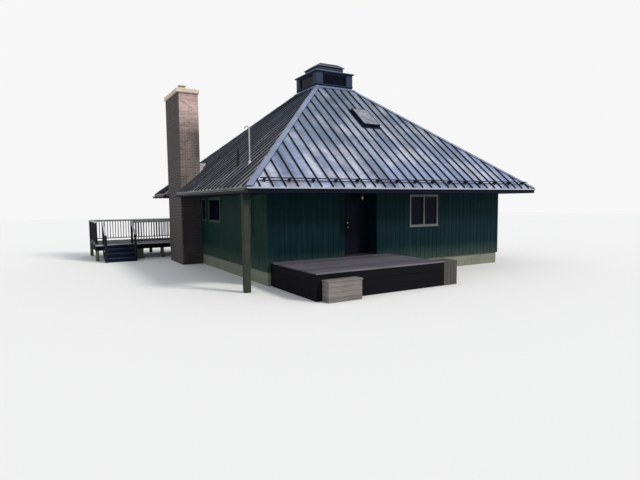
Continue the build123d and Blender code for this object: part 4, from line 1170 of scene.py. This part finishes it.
def onBothFaces(low, high, out, into):
    # Front and back of a layer on each face of the door's leaf.
    return (low - out, low + into), (high - into, high + out)


def buildDoorDetail():
    low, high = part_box("front_door")
    left, right, inset = low.x + leaf["margin"], high.x - leaf["margin"], leaf["panelInset"]
    height = (high.z - low.z - (leaf["rows"] + 1) * leaf["margin"]) / leaf["rows"]
    bm = bmesh.new()
    for row in range(leaf["rows"]):
        bottom = low.z + leaf["margin"] + row * (height + leaf["margin"])
        for front, back in onBothFaces(low.y, high.y, leaf["mouldOut"], leaf["mouldIn"]):
            addRing(bm, left, right, bottom, bottom + height, leaf["mould"], front, back)
        for front, back in onBothFaces(low.y, high.y, -leaf["panelSunk"], leaf["panelIn"]):
            addBox(bm, (left + inset, front, bottom + inset), (right - inset, back, bottom + height - inset))
    makePiece(bm, "doorMouldings", "door", leaf["edge"], body="door")
    knobLow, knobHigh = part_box("door_knobs")
    x, z = (knobLow.x + knobHigh.x) / 2, (knobLow.z + knobHigh.z) / 2
    lock = z + rose["lockRise"]
    bm = bmesh.new()
    for start, end in onBothFaces(low.y, high.y, rose["out"], rose["bite"]):
        addTube(bm, (x, start, z), (x, end, z), rose["sides"], rose["radius"])
        addTube(bm, (x, start, lock), (x, end, lock), rose["lockSides"], rose["lockRadius"])
    makePiece(bm, "doorRoses", "brass", rose["edge"], body="door")


def buildCasing():
    low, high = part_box("door_frame")
    front, back = low.y - casing["out"], low.y + casing["bite"]
    corner, top = low.x + casing["over"], high.z + casing["head"]
    bm = bmesh.new()
    addBox(bm, (low.x - casing["left"], front, low.z), (corner, back, top))
    addBox(bm, (corner, front, high.z - casing["over"]), (high.x - casing["rightJoint"], back, top))
    makePiece(bm, "doorCasing", "trim", casing["edge"])


# The porch lamp's wires and glass; lengths in metres, reaches as shares of the lamp's radius.
porchLamp = {"sides": 32, "wires": 4, "wireSides": 8, "wireReach": 0.74, "wireRadius": 0.004, "wireFoot": 0.01,
             "wireTop": 0.06, "glassReach": 0.66, "glassStretch": 1.55, "glassRise": 0.095}


def buildPorchLamp():
    low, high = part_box("porch_lamp")
    x, y, radius = (low.x + high.x) / 2, (low.y + high.y) / 2, (high.x - low.x) / 2
    bm = bmesh.new()
    # Ceiling plate, collar and foot.
    for bottom, top, first, second in ((high.z - 0.022, high.z, 1, 0.96), (high.z - 0.07, high.z - 0.02, 0.72, 0.5),
                                       (low.z, low.z + 0.02, 0.25, 0.8)):
        addTube(bm, (x, y, bottom), (x, y, top), porchLamp["sides"], radius * first, radius * second)
    reach = radius * porchLamp["wireReach"]
    for number in range(porchLamp["wires"]):
        angle = math.tau * (number + 0.5) / porchLamp["wires"]
        spot = (x + reach * math.cos(angle), y + reach * math.sin(angle))
        addTube(bm, (*spot, low.z + porchLamp["wireFoot"]), (*spot, high.z - porchLamp["wireTop"]),
                porchLamp["wireSides"], porchLamp["wireRadius"])
    makePiece(bm, "porchLampCage", "lamp", replaces=("porch_lamp",))
    bm = bmesh.new()
    bmesh.ops.create_uvsphere(bm, u_segments=28, v_segments=16, radius=radius * porchLamp["glassReach"])
    bmesh.ops.scale(bm, verts=bm.verts[:], vec=(1, 1, porchLamp["glassStretch"]))
    move(bm, bm.verts[:], (x, y, low.z + porchLamp["glassRise"]))
    makePiece(bm, "porchLampGlass", "lampGlass").data.shade_smooth()


buildDoorDetail()
buildCasing()
buildPorchLamp()
print("stage: entry finished")

# Stage: a plain floor, soft light and the photograph's camera.
studio = {"floor": (0.80, 0.80, 0.79), "floorSize": 160, "light": (0.86, 0.89, 0.94), "lightPower": 0.75,
          "backdrop": (0.93, 0.93, 0.93), "sun": (1.0, 0.97, 0.92), "sunPower": 2.2, "sunSoftness": 12,
          "sunTilt": 50, "sunTurn": 34}
view = {"place": (-11.287, -18.896, 2.616), "yaw": 30.18, "pitch": -4.51, "roll": -0.62, "lens": 26.87,
        "sensor": 36, "farthest": 400}


def buildStage():
    bm = bmesh.new()
    bmesh.ops.create_grid(bm, x_segments=1, y_segments=1, size=studio["floorSize"] / 2)
    floor = addObject(bm, "studioFloor", startMaterial("studioFloor", studio["floor"], 0.9))
    world = bpy.data.worlds.new("studio")
    bpy.context.scene.world = world
    world.use_nodes = True
    back = world.node_tree.nodes["Background"]
    feed(world, back.inputs["Color"], studio["light"])
    feed(world, back.inputs["Strength"], studio["lightPower"])
    backdrop = addNode(world, "ShaderNodeBackground", {"Color": studio["backdrop"], "Strength": 1.0})
    rays = addNode(world, "ShaderNodeLightPath").outputs
    shown = rays["Is Camera Ray"]
    for kind in ("Is Glossy Ray", "Is Transmission Ray"):
        shown = compute(world, "MAXIMUM", shown, rays[kind])
    both = {"Fac": shown, 1: back.outputs["Background"], 2: backdrop.outputs["Background"]}
    mix = addNode(world, "ShaderNodeMixShader", both)
    feed(world, world.node_tree.nodes["World Output"].inputs["Surface"], mix.outputs["Shader"])
    sun = bpy.data.lights.new("softSun", "SUN")
    sun.energy, sun.color, sun.angle = studio["sunPower"], studio["sun"], math.radians(studio["sunSoftness"])
    lamp = bpy.data.objects.new("softSun", sun)
    lamp.rotation_euler = (math.radians(studio["sunTilt"]), 0, math.radians(studio["sunTurn"]))
    bpy.context.scene.collection.objects.link(lamp)


def buildCamera():
    yaw, tilt, roll = (math.radians(view[key]) for key in ("yaw", "pitch", "roll"))
    forward = Vector((math.sin(yaw) * math.cos(tilt), math.cos(yaw) * math.cos(tilt), math.sin(tilt)))
    right = Vector((math.cos(yaw), -math.sin(yaw), 0))
    up = right.cross(forward)
    rolledRight = math.cos(roll) * right + math.sin(roll) * up
    rolledUp = -math.sin(roll) * right + math.cos(roll) * up
    turn = Matrix((rolledRight, rolledUp, -forward)).transposed().to_4x4()
    data = bpy.data.cameras.new("photoView")
    data.sensor_fit = "HORIZONTAL"
    data.sensor_width, data.lens, data.clip_end = view["sensor"], view["lens"], view["farthest"]
    camera = bpy.data.objects.new("photoView", data)
    camera.matrix_world = Matrix.Translation(view["place"]) @ turn
    bpy.context.scene.collection.objects.link(camera)
    bpy.context.scene.camera = camera


buildStage()
buildCamera()
bpy.context.scene.view_settings.view_transform = "Standard"
print("stage: studio ready")
